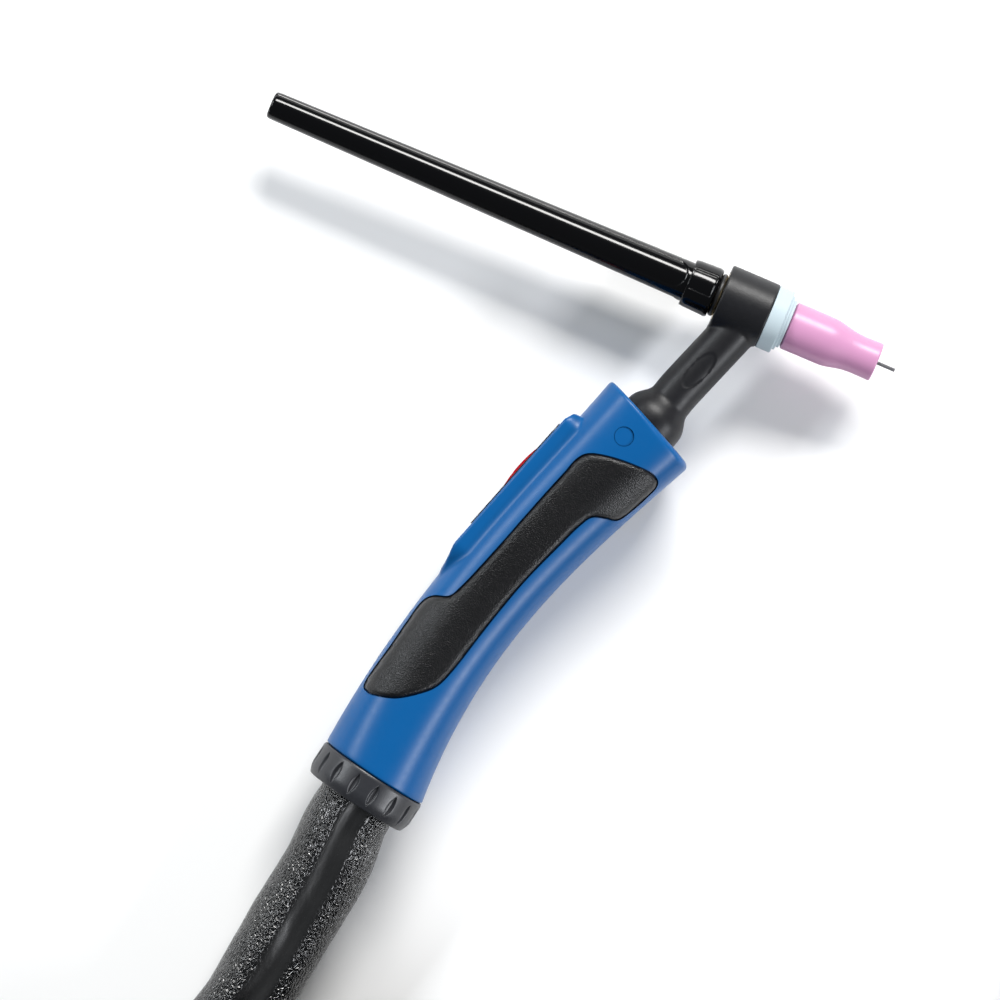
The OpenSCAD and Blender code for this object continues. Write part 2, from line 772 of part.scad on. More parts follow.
module switch_frame() {
    ends = [frame_x + slip, frame_x + slip + frame_length];
    r = 3;
    color([0.08, 0.08, 0.09]) lay() on_housing() difference() {
        block([ends[0], -frame_depth, -frame_half], [ends[1], 0.3, frame_half]);
        block([button_x - button_gap, -frame_depth + floor_thick, -button_half - 0.2],
              [button_x + button_length + button_gap, 2, button_half + 0.2]);
        bar_z([button_pin_x, button_pin_y], -frame_half - 1, frame_half + 1, button_pin_d / 2);
        translate([stem_x, 0, 0]) rotate([90, 0, 0]) cylinder(h = frame_depth + 1, r = plunger_r + 0.2);
        for (x = ends) for (z = [-1, 1])
            difference() {
                block([x - r, -frame_depth - 1, z * frame_half - r], [x + r, 2, z * frame_half + r]);
                translate([x == ends[0] ? x + r : x - r, 3, z * (frame_half - r)]) rotate([90, 0, 0])
                    cylinder(h = frame_depth + 5, r = r);
                block([x == ends[0] ? x + r : x - 2 * r, -frame_depth - 2, z * frame_half - 2 * r],
                      [x == ends[0] ? x + 2 * r : x - r, 3, z * frame_half + 2 * r]);
                block([x - 2 * r, -frame_depth - 2, z > 0 ? -frame_half : -frame_half + r],
                      [x + 2 * r, 3, z > 0 ? frame_half - r : frame_half]);
            }
    }
}

// The button's crown is one large arc; its stem reaches down to the switch's plunger
module trigger_button() {
    back = button_x + button_length;
    mid = (button_x + back) / 2;
    rise = button_crown - 0.1;
    crown_r = (pow(button_length / 2, 2) + rise * rise) / (2 * rise);
    color("crimson") lay() on_housing() difference() {
        union() {
            intersection() {
                block([button_x, -2.6, -button_half], [back, 2, button_half]);
                bar_z([mid, button_crown - crown_r], -button_half, button_half, crown_r);
            }
            block([back - 4.2, -5.4, -button_half], [back - 0.6, -2, button_half]);
            block([stem_x - stem_r, stem_low + stem_r, -2], [stem_x + stem_r, -2, 2]);
            bar_z([stem_x, stem_low + stem_r], -2, 2, stem_r);
        }
        bar_z([button_pin_x, button_pin_y], -button_half - 1, button_half + 1, button_pin_d / 2 + fit);
        block([back - 5, -6, -1.6], [back + 1, -1.4, 1.6]);
    }
}

module trigger_pin() {
    color("silver") lay() on_housing()
        bar_z([button_pin_x, button_pin_y], -frame_half + 0.2, frame_half - 0.2, button_pin_d / 2);
}

// A torsion spring: its coil sits round the pin, one leg stands on the frame's floor and one under the button
module switch_spring() {
    wire = 0.5;
    ring_r = button_pin_d / 2 + wire / 2 + 0.1;
    pitch = wire + 0.1;
    floor_y = floor_thick - frame_depth;
    color("silver") lay() on_housing() translate([button_pin_x, button_pin_y, 0]) {
        for (k = [-1 : 1])
            translate([0, 0, k * pitch]) rotate_extrude() translate([ring_r, 0]) circle(d = wire);
        translate([ring_r + wire, 0, -pitch]) rotate([90, 0, 0])
            cylinder(h = button_pin_y - floor_y, d = wire);
        translate([-ring_r - wire, 0, pitch]) rotate([-90, 0, 0]) cylinder(h = 1.2, d = wire);
    }
}

module switch_body() {
    top = -frame_depth;
    color([0.12, 0.12, 0.14]) lay() on_housing() difference() {
        block([stem_x - 6, top - switch_height, -3], [leads_start, top, 3]);
        translate([stem_x, top + 1, 0]) rotate([90, 0, 0])
            cylinder(h = top + 1 - plunger_end + press_travel + slip, r = plunger_r + fit);
    }
}

module switch_plunger() {
    color("ivory") lay() on_housing() translate([stem_x, stem_low - fit, 0]) rotate([90, 0, 0])
        cylinder(h = plunger_length, r = plunger_r);
}

// Two insulated leads from the switch back to the control cable
module switch_leads() {
    color("firebrick") lay() on_housing() for (z = [-1.1, 1.1])
        translate([0, leads_y, z]) bar_x(leads_start, leads_end, 0.8);
}

// ---------------------------------------------------------------- inside the handle

module cable_coupling() {
    color("darkgoldenrod") lay() on_neck() difference() {
        union() {
            bar_x(cover_end + loose, cover_end + 6, coupling_d / 2);
            bar_x(cover_end + 6 - eps, coupling_end, coupling_d / 2 - 1);
        }
        bar_x(cover_end, tube_end, neck_tube_d / 2 + fit);
        bar_x(cover_end, coupling_end + 1, neck_tube_bore / 2);
    }
}

// Centre of a cable inside the handle: it leaves the neck's axis and follows the spine
function cable_line(start, off) = concat(
    [start],
    [
        for (t = [0.3 : 0.1 : 0.9])
            let (p = in_section(t, blend(-spine(0.2).y, off, clamp01((t - 0.2) / 0.5))))
            [p.x, p.y, 0]
    ]
);
function tail_xyz(x, y) =
    let (p = turned([x, y], handle_bend))
    [spine(1).x + p.x, spine(1).y + p.y, 0];

module power_cable_end() {
    color([0.1, 0.1, 0.1]) lay() on_neck() swept(
        concat(
            [[coupling_end, 0, 0], [coupling_end + 4, 0, 0]],
            cable_line([coupling_end + 8, 0, 0], cable_off),
            [tail_xyz(sleeve_start - loose, cable_off)]
        ),
        cable_d, 12
    );
}

module control_cable_end() {
    from = turned([leads_end + slip, leads_y], -housing_tilt);
    start = [housing_at + from.x, -housing_out - from.y, 0];
    color([0.1, 0.1, 0.1]) lay() on_neck() swept(
        concat(
            [start],
            [
                for (t = [0.56, 0.66, 0.76, 0.86, 0.94])
                    let (p = in_section(t, control_off))
                    [p.x, p.y, 0]
            ],
            [tail_xyz(sleeve_start - loose, control_off)]
        ),
        control_d, 10
    );
}

// ---------------------------------------------------------------- tail

module rear_nut() {
    r = nut_d / 2;
    rear_r = nut_rear_d / 2;
    flute_r = 1.7;
    color([0.27, 0.28, 0.31]) lay() on_tail() difference() {
        turned_x([
            [0, nut_gap], [r - 0.3, nut_gap], [r, nut_gap + 0.4], [r, nut_rear_x - 1.8],
            [r - 0.4, nut_rear_x - 1.1],
            [rear_r, nut_rear_x], [0, nut_rear_x]
        ]);
        bar_x(nut_gap - 1, nut_rear_x - lip, tail_thread_d / 2 + fit);
        bar_x(0, nut_rear_x + 1, nut_opening_r);
        for (k = [0 : nut_flutes - 1])
            rotate([(k + 0.5) * 360 / nut_flutes, 0, 0])
                translate([nut_gap + 1.4, 0, r + flute_r - 0.7]) bar_x(0, nut_length, flute_r);
    }
}

module sleeve_clamp() {
    color([0.1, 0.1, 0.1]) lay() on_tail() difference() {
        bar_x(thread_end + slip, nut_rear_x - lip - slip, tail_thread_d / 2 - slip);
        bar_x(0, nut_rear_x, sleeve_r + slip);
    }
}

// ---------------------------------------------------------------- hose package and plugs

module hose_run() {
    color([0.06, 0.06, 0.06]) swept(run_points, sleeve_d, 12);
}

module hose_tail() {
    color([0.06, 0.06, 0.06]) swept(tail_points, sleeve_d, 12);
}

// Outline of the bundle of turns: two beside each other, two more on them, and a last half turn on top
function bundle(g) =
    let (a = coil_inner_r - sleeve_r - g, b = coil_outer_r + sleeve_r + g, m = coil_mid_r, c = 8)
    [
        [a, c], [a + c, 0], [b - c, 0], [b, c], [b, coil_low - c], [m + sleeve_r / 2 + 2 + g, coil_top + g],
        [m - sleeve_r / 2 - 2 - g, coil_top + g], [a, coil_low - c]
    ];

module lead_coil() {
    color([0.06, 0.06, 0.06]) translate([coil_centre.x, coil_centre.y, 0]) rotate_extrude($fn = 128)
        polygon(bundle(0));
}

// Two straps round the bundle
module coil_ties() {
    width = 10;
    color([0.2, 0.2, 0.2]) translate([coil_centre.x, coil_centre.y, 0]) for (a = [75, 285])
        rotate([0, 0, a]) rotate_extrude(angle = width, $fn = 128) difference() {
            polygon(bundle(1.6));
            polygon(bundle(0));
            translate([coil_mid_r - 60, -1]) square([120, 1]);
        }
}

module end_boot() {
    length = boot_front - boot_start;
    color([0.08, 0.08, 0.08]) difference() {
        turned_y([lead_x, boot_start, lead_z], [
            [0, 0], [boot_r - 0.6, 0], [boot_r, 0.8], [boot_r, length * 0.45], [boot_r - 0.8, length * 0.6],
            [boot_front_r + 0.6, length - 5], [boot_front_r, length - 1], [boot_front_r - 0.8, length],
            [0, length]
        ]);
        turned_y([lead_x, boot_start - 1, lead_z], [[0, 0], [sleeve_r, 0], [sleeve_r, 19], [0, 19]]);
        turned_y([lead_x + power_offset, boot_front - 6, lead_z],
                 [[0, 0], [power_lead_d / 2, 0], [power_lead_d / 2, 8], [0, 8]]);
        turned_y([lead_x + control_offset, boot_front - 6, lead_z],
                 [[0, 0], [control_lead_d / 2, 0], [control_lead_d / 2, 8], [0, 8]]);
    }
}

module power_lead() {
    color([0.08, 0.08, 0.08]) swept(power_points, power_lead_d, 12);
}

// Rubber boot of the bayonet plug, with grip rings
module power_plug_boot() {
    r = plug_boot_d / 2;
    tail_r = power_lead_d / 2 + 2.2;
    color([0.08, 0.08, 0.08]) difference() {
        turned_y(plug_at, [
            [0, 0], [tail_r, 0], [tail_r + 0.8, 6], [r - 3.5, 16], [r - 1, 20], [r, 23],
            [r, plug_boot_length - 1.5], [r - 1.5, plug_boot_length], [0, plug_boot_length]
        ]);
        turned_y(plug_at - [0, 1, 0], [[0, 0], [power_lead_d / 2, 0], [power_lead_d / 2, 11], [0, 11]]);
        for (y = [27 : 5 : plug_boot_length - 6])
            translate(plug_at + [0, y, 0]) rotate([-90, 0, 0]) difference() {
                cylinder(h = 2.2, r = r + 1);
                translate([0, 0, -1]) cylinder(h = 5, r = r - 1);
            }
    }
}

// Brass pin of the bayonet plug: a collar with the bayonet key on it, then the plain pin
module power_plug_pin() {
    flange_r = plug_boot_d / 2 - 5;
    flange = 2;
    collar_r = plug_pin_d / 2 + 1.5;
    collar = flange + 6;
    pin_r = plug_pin_d / 2;
    pin_end = collar + plug_pin_length;
    chamfer = 0.8;
    color("gold") translate(plug_at + [0, plug_boot_length, 0]) {
        turned_y([0, 0, 0], [
            [0, 0], [flange_r, 0], [flange_r, flange], [collar_r, flange], [collar_r, collar],
            [pin_r, collar], [pin_r, pin_end], [pin_r - chamfer, pin_end + chamfer], [0, pin_end + chamfer]
        ]);
        translate([-1.5, flange - 1, 0]) cube([3, collar - flange, collar_r + 1.5]);
    }
}

module control_lead() {
    color([0.1, 0.1, 0.1]) swept(control_points, control_lead_d, 8);
}

module control_plug_body() {
    body_r = ring_d / 2 - 1.8;
    color([0.12, 0.12, 0.13]) difference() {
        union() {
            turned_y(control_at, [
                [0, 0], [control_lead_d / 2 + 1.4, 0], [control_lead_d / 2 + 2, 8], [body_r - 1.4, 13],
                [body_r, 15], [body_r, 26], [body_r - 1.6, 26], [body_r - 1.6, 40], [0, 40]
            ]);
        }
        turned_y(control_at - [0, 1, 0], [
            [0, 0], [control_lead_d / 2, 0], [control_lead_d / 2, 11], [0, 11]
        ]);
        turned_y(control_at + [0, 33, 0], [[0, 0], [body_r - 3, 0], [body_r - 3, 8], [0, 8]]);
    }
}

// Knurled coupling ring, free to turn on the plug's nose
module control_plug_ring() {
    nose_r = ring_d / 2 - 3.4;
    color([0.55, 0.56, 0.58]) difference() {
        turned_y(control_at + [0, 26 + loose, 0], [
            [0, 0], [ring_d / 2 - 0.5, 0], [ring_d / 2, 0.5],
            [ring_d / 2, 9.5], [ring_d / 2 - 0.5, 10], [0, 10]
        ]);
        turned_y(control_at + [0, 25, 0], [[0, 0], [nose_r + fit, 0], [nose_r + fit, 16], [0, 16]]);
        for (k = [0 : 23])
            translate(control_at + [0, 28, 0]) rotate([0, k * 15, 0]) translate([ring_d / 2 + 0.6, 0, 0])
                rotate([-90, 0, 0]) cylinder(h = 6.5, r = 1);
    }
}

module control_plug_pins() {
    circle_r = 2.6;
    color("gold") for (k = [0 : contact_count - 1])
        translate(control_at + [0, 33, 0]) rotate([0, k * 360 / contact_count, 0])
            translate([circle_r, 0, 0]) rotate([-90, 0, 0]) cylinder(h = 6, r = 0.6);
}

electrode();
collet();
collet_body();
nozzle();
cup_insulator();
head_core();
head_cover();
neck_tube();
back_cap_seal();
back_cap();
cable_coupling();
power_cable_end();
control_cable_end();
handle_left();
handle_right();
grip_pad_left();
grip_pad_right();
handle_badges();
handle_screws();
switch_frame();
trigger_button();
trigger_pin();
switch_spring();
switch_body();
switch_plunger();
switch_leads();
rear_nut();
sleeve_clamp();
hose_run();
lead_coil();
hose_tail();
coil_ties();
end_boot();
power_lead();
power_plug_boot();
power_plug_pin();
control_lead();
control_plug_body();
control_plug_ring();
control_plug_pins();
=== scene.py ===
"""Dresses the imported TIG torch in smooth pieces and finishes, and sets up floor, lights and camera.

Pieces are drawn in millimetres in four frames. TORCH has its origin where the axes of electrode and neck
cross, X towards the electrode's tip and Z up from the surface that the torch lies on. NECK is TORCH
turned about Z until X runs along the neck, with Y away from the trigger. TAIL starts at the end of the
handle, X along the rear nut's axis, and HOUSING lies on the switch housing, X along the handle and Y out
of it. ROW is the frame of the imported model.
"""

import logging
import math
from collections.abc import Callable, Sequence
from dataclasses import dataclass, field
from enum import Enum

import bpy
import numpy as np
from mathutils import Euler, Matrix, Vector
from mathutils.bvhtree import BVHTree
from mathutils.geometry import delaunay_2d_cdt


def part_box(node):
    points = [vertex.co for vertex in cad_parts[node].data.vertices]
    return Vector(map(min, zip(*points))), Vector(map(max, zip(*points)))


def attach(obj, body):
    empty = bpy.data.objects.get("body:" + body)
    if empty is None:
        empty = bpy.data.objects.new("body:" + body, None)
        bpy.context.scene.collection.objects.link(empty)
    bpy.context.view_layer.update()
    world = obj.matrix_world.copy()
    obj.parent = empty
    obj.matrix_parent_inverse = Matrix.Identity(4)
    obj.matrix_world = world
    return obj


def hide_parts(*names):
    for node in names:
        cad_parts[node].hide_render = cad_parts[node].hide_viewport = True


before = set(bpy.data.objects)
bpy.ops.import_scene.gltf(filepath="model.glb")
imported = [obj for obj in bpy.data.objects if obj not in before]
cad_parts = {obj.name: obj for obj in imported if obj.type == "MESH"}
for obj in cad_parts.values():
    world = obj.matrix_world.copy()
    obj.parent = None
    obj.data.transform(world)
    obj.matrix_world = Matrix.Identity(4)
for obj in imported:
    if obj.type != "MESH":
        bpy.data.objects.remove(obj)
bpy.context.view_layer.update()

LOG = logging.getLogger("torch")
MM = 0.001
HEAD_ANGLE = 110.0

Pair = tuple[float, float]
Triple = tuple[float, float, float]
Colour = Triple
Profile = Sequence[tuple[float, ...]]
Carried = tuple[str, str, float]


# ------------------------------------------------------------------------------------------ frames


class Place(Enum):
    """A frame in which pieces are drawn."""

    TORCH = "torch"
    NECK = "neck"
    TAIL = "tail"
    HOUSING = "housing"
    ROW = "row"


@dataclass(frozen=True)
class Layout:
    """Where the frames stand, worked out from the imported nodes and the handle's curve."""

    head_front: float = 4.3
    handle_start: float = 42.0
    face_tilt: float = 0.085
    handle_length: float = 122.0
    handle_bend: float = 9.6
    spine_lift: float = 0.5
    housing_at: float = 79.0
    housing_out: float = 16.86
    housing_tilt: float = 1.4

    @property
    def origin(self) -> Vector:
        """Crossing of the axes of electrode and neck in the row frame, in metres.

        Returns:
            The point.
        """
        low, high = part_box("electrode")
        middle = (low + high) / 2
        return Vector((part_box("cup_insulator")[0].x - self.head_front * MM, middle.y, middle.z))

    @property
    def spine_radius(self) -> float:
        """Radius of the handle's curve."""
        return self.handle_length / math.radians(self.handle_bend)

    def spine(self, share: float) -> Pair:
        """Point of the handle's spine in the neck frame.

        Args:
            share: Share of the handle's length from its front.

        Returns:
            The point's place along and across the neck.
        """
        turn = math.radians(self.handle_bend * share)
        radius = self.spine_radius
        return (
            self.handle_start + radius * math.sin(turn),
            self.spine_lift + radius * (1 - math.cos(turn)),
        )

    def matrix(self, place: Place) -> Matrix:
        """Matrix from a frame, in millimetres, to the row frame, in metres.

        Args:
            place: The frame that a piece is drawn in.

        Returns:
            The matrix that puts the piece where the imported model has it.
        """
        scale = Matrix.Scale(MM, 4)
        if place is Place.ROW:
            return scale
        torch = Matrix.Translation(self.origin) @ scale
        if place is Place.TORCH:
            return torch
        neck = torch @ Matrix.Rotation(math.radians(-HEAD_ANGLE), 4, "Z")
        if place is Place.NECK:
            return neck
        if place is Place.TAIL:
            end = Matrix.Translation((*self.spine(1.0), 0.0))
            return neck @ end @ Matrix.Rotation(math.radians(self.handle_bend), 4, "Z")
        out = Matrix.Translation((self.housing_at, -self.housing_out, 0.0))
        over = Matrix.Rotation(math.pi, 4, "X")
        return neck @ out @ over @ Matrix.Rotation(math.radians(-self.housing_tilt), 4, "Z")


LAYOUT = Layout()


# ------------------------------------------------------------------------------------------ meshes


@dataclass
class Shape:
    """A closed surface in millimetres.

    Attributes:
        points: One row for each corner.
        faces: Corners of each face.
    """

    points: np.ndarray
    faces: list[Sequence[int]]

    def moved(self, matrix: Matrix) -> "Shape":
        """The same surface after a matrix.

        Args:
            matrix: The matrix to move it by. Faces turn over if it mirrors.

        Returns:
            A new surface.
        """
        turn = np.array(matrix)
        points = self.points @ turn[:3, :3].T + turn[:3, 3]
        mirrored = np.linalg.det(turn[:3, :3]) < 0
        return Shape(points, [f[::-1] for f in self.faces] if mirrored else self.faces)

    def mesh(self, name: str, sharp: float = 35.0) -> bpy.types.Mesh:
        """Makes a mesh, smooth but for edges sharper than an angle.

        Args:
            name: The mesh's name.
            sharp: Degrees between two faces from which their edge is sharp.

        Returns:
            The mesh.
        """
        mesh = bpy.data.meshes.new(name)
        mesh.from_pydata(self.points.tolist(), [], [list(f) for f in self.faces])
        mesh.validate()
        mesh.shade_smooth()
        mesh.set_sharp_from_angle(angle=math.radians(sharp))
        return mesh


def read_shape(obj: bpy.types.Object) -> Shape:
    """Reads an object's mesh after its modifiers.

    Args:
        obj: The object.

    Returns:
        Its surface.
    """
    done = obj.evaluated_get(bpy.context.evaluated_depsgraph_get()).to_mesh()
    points = np.zeros(len(done.vertices) * 3)
    done.vertices.foreach_get("co", points)
    faces = [tuple(p.vertices) for p in done.polygons]
    shape = Shape(points.reshape(-1, 3), faces)
    obj.evaluated_get(bpy.context.evaluated_depsgraph_get()).to_mesh_clear()
    return shape


def combined(base: Shape, others: Sequence[Shape], operation: str = "DIFFERENCE") -> Shape:
    """Cuts other shapes from a shape, or joins them to it.

    Args:
        base: The shape to start from.
        others: The shapes to take away or add, in the same frame.
        operation: Name of the Boolean modifier's operation.

    Returns:
        The resulting shape.
    """
    scene = bpy.context.scene.collection
    made = []
    for number, shape in enumerate([base, *others]):
        obj = bpy.data.objects.new(f"blank_{number}", shape.mesh(f"blank_{number}"))
        scene.objects.link(obj)
        made.append(obj)
    for tool in made[1:]:
        modifier = made[0].modifiers.new(operation, "BOOLEAN")
        modifier.operation = operation
        modifier.object = tool
        modifier.solver = "MANIFOLD"
    result = read_shape(made[0])
    for obj in made:
        mesh = obj.data
        bpy.data.objects.remove(obj)
        bpy.data.meshes.remove(mesh)
    return result


def grid(rings: np.ndarray, round_rows: bool = True, round_columns: bool = True) -> list[tuple[int, ...]]:
    """Faces between rings of equally many points.

    Args:
        rings: Array of rings, points and coordinates.
        round_rows: Whether each ring closes on itself.
        round_columns: Whether the last ring joins the first.

    Returns:
        Four-cornered faces.
    """
    count, width = rings.shape[0], rings.shape[1]
    faces = []
    for i in range(count if round_columns else count - 1):
        a, b = i * width, ((i + 1) % count) * width
        for j in range(width if round_rows else width - 1):
            k = (j + 1) % width
            faces.append((a + j, a + k, b + k, b + j))
    return faces


def softened(profile: Profile, steps: int = 5) -> list[Pair]:
    """Rounds the corners of an outline.

    Args:
        profile: Points of two numbers, or three where the third is how far the rounding reaches.
        steps: Stretches in each rounding.

    Returns:
        Points of two numbers.
    """
    line = []
    for i, corner in enumerate(profile):
        here = np.array(corner[:2], float)
        reach = corner[2] if len(corner) > 2 else 0.0
        if reach <= 0:
            line.append(tuple(here))
            continue
        before = np.array(profile[i - 1][:2], float) - here
        after = np.array(profile[(i + 1) % len(profile)][:2], float) - here
        start = here + before / np.linalg.norm(before) * reach
        end = here + after / np.linalg.norm(after) * reach
        for k in range(steps + 1):
            u = k / steps
            line.append(tuple((1 - u) ** 2 * start + 2 * u * (1 - u) * here + u**2 * end))
    return line


def divided(line: Sequence[Pair], longest: float) -> list[Pair]:
    """Puts more points on a closed line, so that no stretch is longer than a length.

    Args:
        line: The closed line's points.
        longest: The longest stretch allowed.

    Returns:
        The line with the points added.
    """
    result = []
    for i, here in enumerate(line):
        there = line[(i + 1) % len(line)]
        parts = max(1, math.ceil(math.dist(here, there) / longest))
        for k in range(parts):
            u = k / parts
            result.append((here[0] + (there[0] - here[0]) * u, here[1] + (there[1] - here[1]) * u))
    return result


Relief = Callable[[np.ndarray, np.ndarray, np.ndarray], np.ndarray]
Heights = Callable[[np.ndarray], np.ndarray]


def turned(
    profile: Profile,
    sides: int = 96,
    longest: float = 4.0,
    relief: Relief | None = None,
) -> Shape:
    """Turns a closed outline about the X axis.

    Args:
        profile: Outline points as (x, radius) or (x, radius, rounding), with the outer side from low to
            high x and the bore back again.
        sides: Points in each ring.
        longest: Longest stretch between two rings.
        relief: Function of x, angle and radius that gives the radius with the surface's relief.

    Returns:
        The turned surface.
    """
    line = np.array(divided(softened(profile), longest))
    angles = np.linspace(0, 2 * math.pi, sides, endpoint=False)
    x = np.repeat(line[:, :1], sides, axis=1)
    radius = np.repeat(line[:, 1:], sides, axis=1)
    turn = np.repeat(angles[None, :], len(line), axis=0)
    if relief:
        radius = relief(x, turn, radius)
    rings = np.stack([x, radius * np.cos(turn), radius * np.sin(turn)], axis=2)
    return Shape(rings.reshape(-1, 3), [f[::-1] for f in grid(rings)])


def prism(outline: Sequence[Pair], low: float, high: float, matrix: Matrix) -> Shape:
    """Straight prism over an outline, as a cutter.

    Args:
        outline: Outline points, anticlockwise.
        low: Height of the lower face.
        high: Height of the upper face.
        matrix: Matrix that lays the prism.

    Returns:
        The prism's surface.
    """
    flat = np.array(outline, float)
    rings = np.stack([np.column_stack([flat, np.full(len(flat), z)]) for z in (low, high)])
    count = len(flat)
    faces = grid(rings, True, False)
    faces.append(tuple(range(count))[::-1])
    faces.append(tuple(range(count, 2 * count)))
    return Shape(rings.reshape(-1, 3), faces).moved(matrix)


def disc(centre: Pair, radius: float, sides: int = 48) -> list[Pair]:
    """Round outline.

    Args:
        centre: The circle's centre.
        radius: The circle's radius.
        sides: Points on the circle.

    Returns:
        The outline, anticlockwise.
    """
    angles = [2 * math.pi * k / sides for k in range(sides)]
    return [(centre[0] + radius * math.cos(a), centre[1] + radius * math.sin(a)) for a in angles]


def slot_outline(low: Pair, high: Pair, corner: float) -> list[Pair]:
    """Rectangle with round corners.

    Args:
        low: Lowest corner.
        high: Highest corner.
        corner: Radius of the corners.

    Returns:
        The outline, anticlockwise.
    """
    (left, front), (right, back) = low, high
    box = [(left, front, corner), (right, front, corner), (right, back, corner), (left, back, corner)]
    return softened(box, 8)


def smooth_through(points: np.ndarray, closed: bool, steps: int) -> np.ndarray:
    """A smooth curve through points.

    Args:
        points: The points, one in each row.
        closed: Whether the curve closes on itself.
        steps: Stretches between two points.

    Returns:
        Points of the curve.
    """
    count = len(points)
    line = []
    for i in range(count if closed else count - 1):
        picks = [i - 1, i, i + 1, i + 2]
        picks = [k % count if closed else min(max(k, 0), count - 1) for k in picks]
        p0, p1, p2, p3 = (points[k] for k in picks)
        for k in range(steps):
            u = k / steps
            line.append(
                0.5 * (2 * p1 + (p2 - p0) * u + (2 * p0 - 5 * p1 + 4 * p2 - p3) * u * u
                       + (3 * p1 - p0 - 3 * p2 + p3) * u**3)
            )
    if not closed:
        line.append(points[-1])
    return np.array(line)


def lengths(line: np.ndarray) -> np.ndarray:
    """Distance along a line to each of its points.

    Args:
        line: The line's points.

    Returns:
        One distance for each point.
    """
    return np.concatenate([[0], np.cumsum(np.linalg.norm(np.diff(line, axis=0), axis=1))])


def smooth_max(a: np.ndarray, b: np.ndarray, reach: float) -> np.ndarray:
    """The larger of two numbers, rounded where they are near each other.

    Args:
        a: First numbers.
        b: Second numbers.
        reach: How near they are where the rounding starts.

    Returns:
        The rounded maximum.
    """
    near = np.maximum(reach - np.abs(a - b), 0) / reach
    return np.maximum(a, b) + near**2 * reach / 4


def smooth_step(x: np.ndarray) -> np.ndarray:
    """Smooth rise from 0 to 1 as x goes from 0 to 1."""
    x = np.clip(x, 0, 1)
    return x * x * (3 - 2 * x)


def shade_like(mesh: bpy.types.Mesh, surface: bpy.types.Mesh, near: float = 0.03 * MM) -> None:
    """Gives a cut mesh the shading of the surface it was cut from.

    Args:
        mesh: The cut mesh.
        surface: The smooth surface before the cuts, in the same place.
        near: Greatest distance at which a corner still lies on the surface.
    """
    surface.calc_loop_triangles()
    triangles = [tuple(t.vertices) for t in surface.loop_triangles]
    points = [v.co for v in surface.vertices]
    normals = np.array([v.normal for v in surface.vertices])
    tree = BVHTree.FromPolygons(points, triangles)
    found = np.zeros((len(mesh.vertices), 3))
    for vertex in mesh.vertices:
        spot, _, index, _ = tree.find_nearest(vertex.co, near)
        if spot is None:
            continue
        corners = triangles[index]
        a, b, c = (points[k] for k in corners)
        whole = (b - a).cross(c - a)
        area = whole.length_squared
        if area == 0:
            continue
        weights = [
            (c - b).cross(spot - b).dot(whole) / area,
            (a - c).cross(spot - c).dot(whole) / area,
            (b - a).cross(spot - a).dot(whole) / area,
        ]
        found[vertex.index] = sum(w * normals[k] for w, k in zip(weights, corners))
    set_corner_normals(mesh, found)


def set_corner_normals(mesh: bpy.types.Mesh, wanted: np.ndarray, likeness: float = 0.86) -> None:
    """Sets the normals of the corners whose face looks the way that is wanted.

    Args:
        mesh: The mesh.
        wanted: A direction for each vertex, or zeros for none.
        likeness: Least cosine between a face's normal and the direction wanted.
    """
    size = np.linalg.norm(wanted, axis=1, keepdims=True)
    wanted = np.divide(wanted, size, out=np.zeros_like(wanted), where=size > 0)
    corners = np.zeros(len(mesh.loops), int)
    mesh.loops.foreach_get("vertex_index", corners)
    flat = np.zeros(len(mesh.polygons) * 3)
    mesh.polygons.foreach_get("normal", flat)
    counts = np.zeros(len(mesh.polygons), int)
    mesh.polygons.foreach_get("loop_total", counts)
    faces = np.repeat(flat.reshape(-1, 3), counts, axis=0)
    normals = wanted[corners]
    normals[(normals * faces).sum(axis=1) < likeness] = 0
    mesh.normals_split_custom_set(normals.tolist())


# ------------------------------------------------------------------------------------------ shaders


class Value:
    """A number that varies over a surface. Arithmetic on it adds Math nodes."""

    def __init__(self, graph: "Graph", socket: bpy.types.NodeSocket) -> None:
        """Wraps a socket of a graph.

        Args:
            graph: The graph that the socket is in.
            socket: The output socket.
        """
        self.graph = graph
        self.socket = socket

    def math(self, operation: str, first: "Number", second: "Number") -> "Value":
        """Adds one Math node.

        Args:
            operation: The node's operation.
            first: Its first value.
            second: Its second value.

        Returns:
            The node's result.
        """
        return self.graph.add("ShaderNodeMath", {"operation": operation}, {0: first, 1: second})

    def __add__(self, other: "Number") -> "Value":
        """Sum."""
        return self.math("ADD", self, other)

    def __radd__(self, other: "Number") -> "Value":
        """Sum with a number on the left."""
        return self.math("ADD", other, self)

    def __rsub__(self, other: "Number") -> "Value":
        """Difference from a number on the left."""
        return self.math("SUBTRACT", other, self)

    def __mul__(self, other: "Number") -> "Value":
        """Product."""
        return self.math("MULTIPLY", self, other)

    def __rmul__(self, other: "Number") -> "Value":
        """Product with a number on the left."""
        return self.math("MULTIPLY", other, self)

    def rise(self, low: float, high: float) -> "Value":
        """Smooth rise from 0 to 1.

        Args:
            low: Value at which the rise starts.
            high: Value at which it ends.

        Returns:
            The rise.
        """
        settings = {"interpolation_type": "SMOOTHSTEP"}
        return self.graph.add("ShaderNodeMapRange", settings, {0: self, 1: low, 2: high})


Number = Value | float


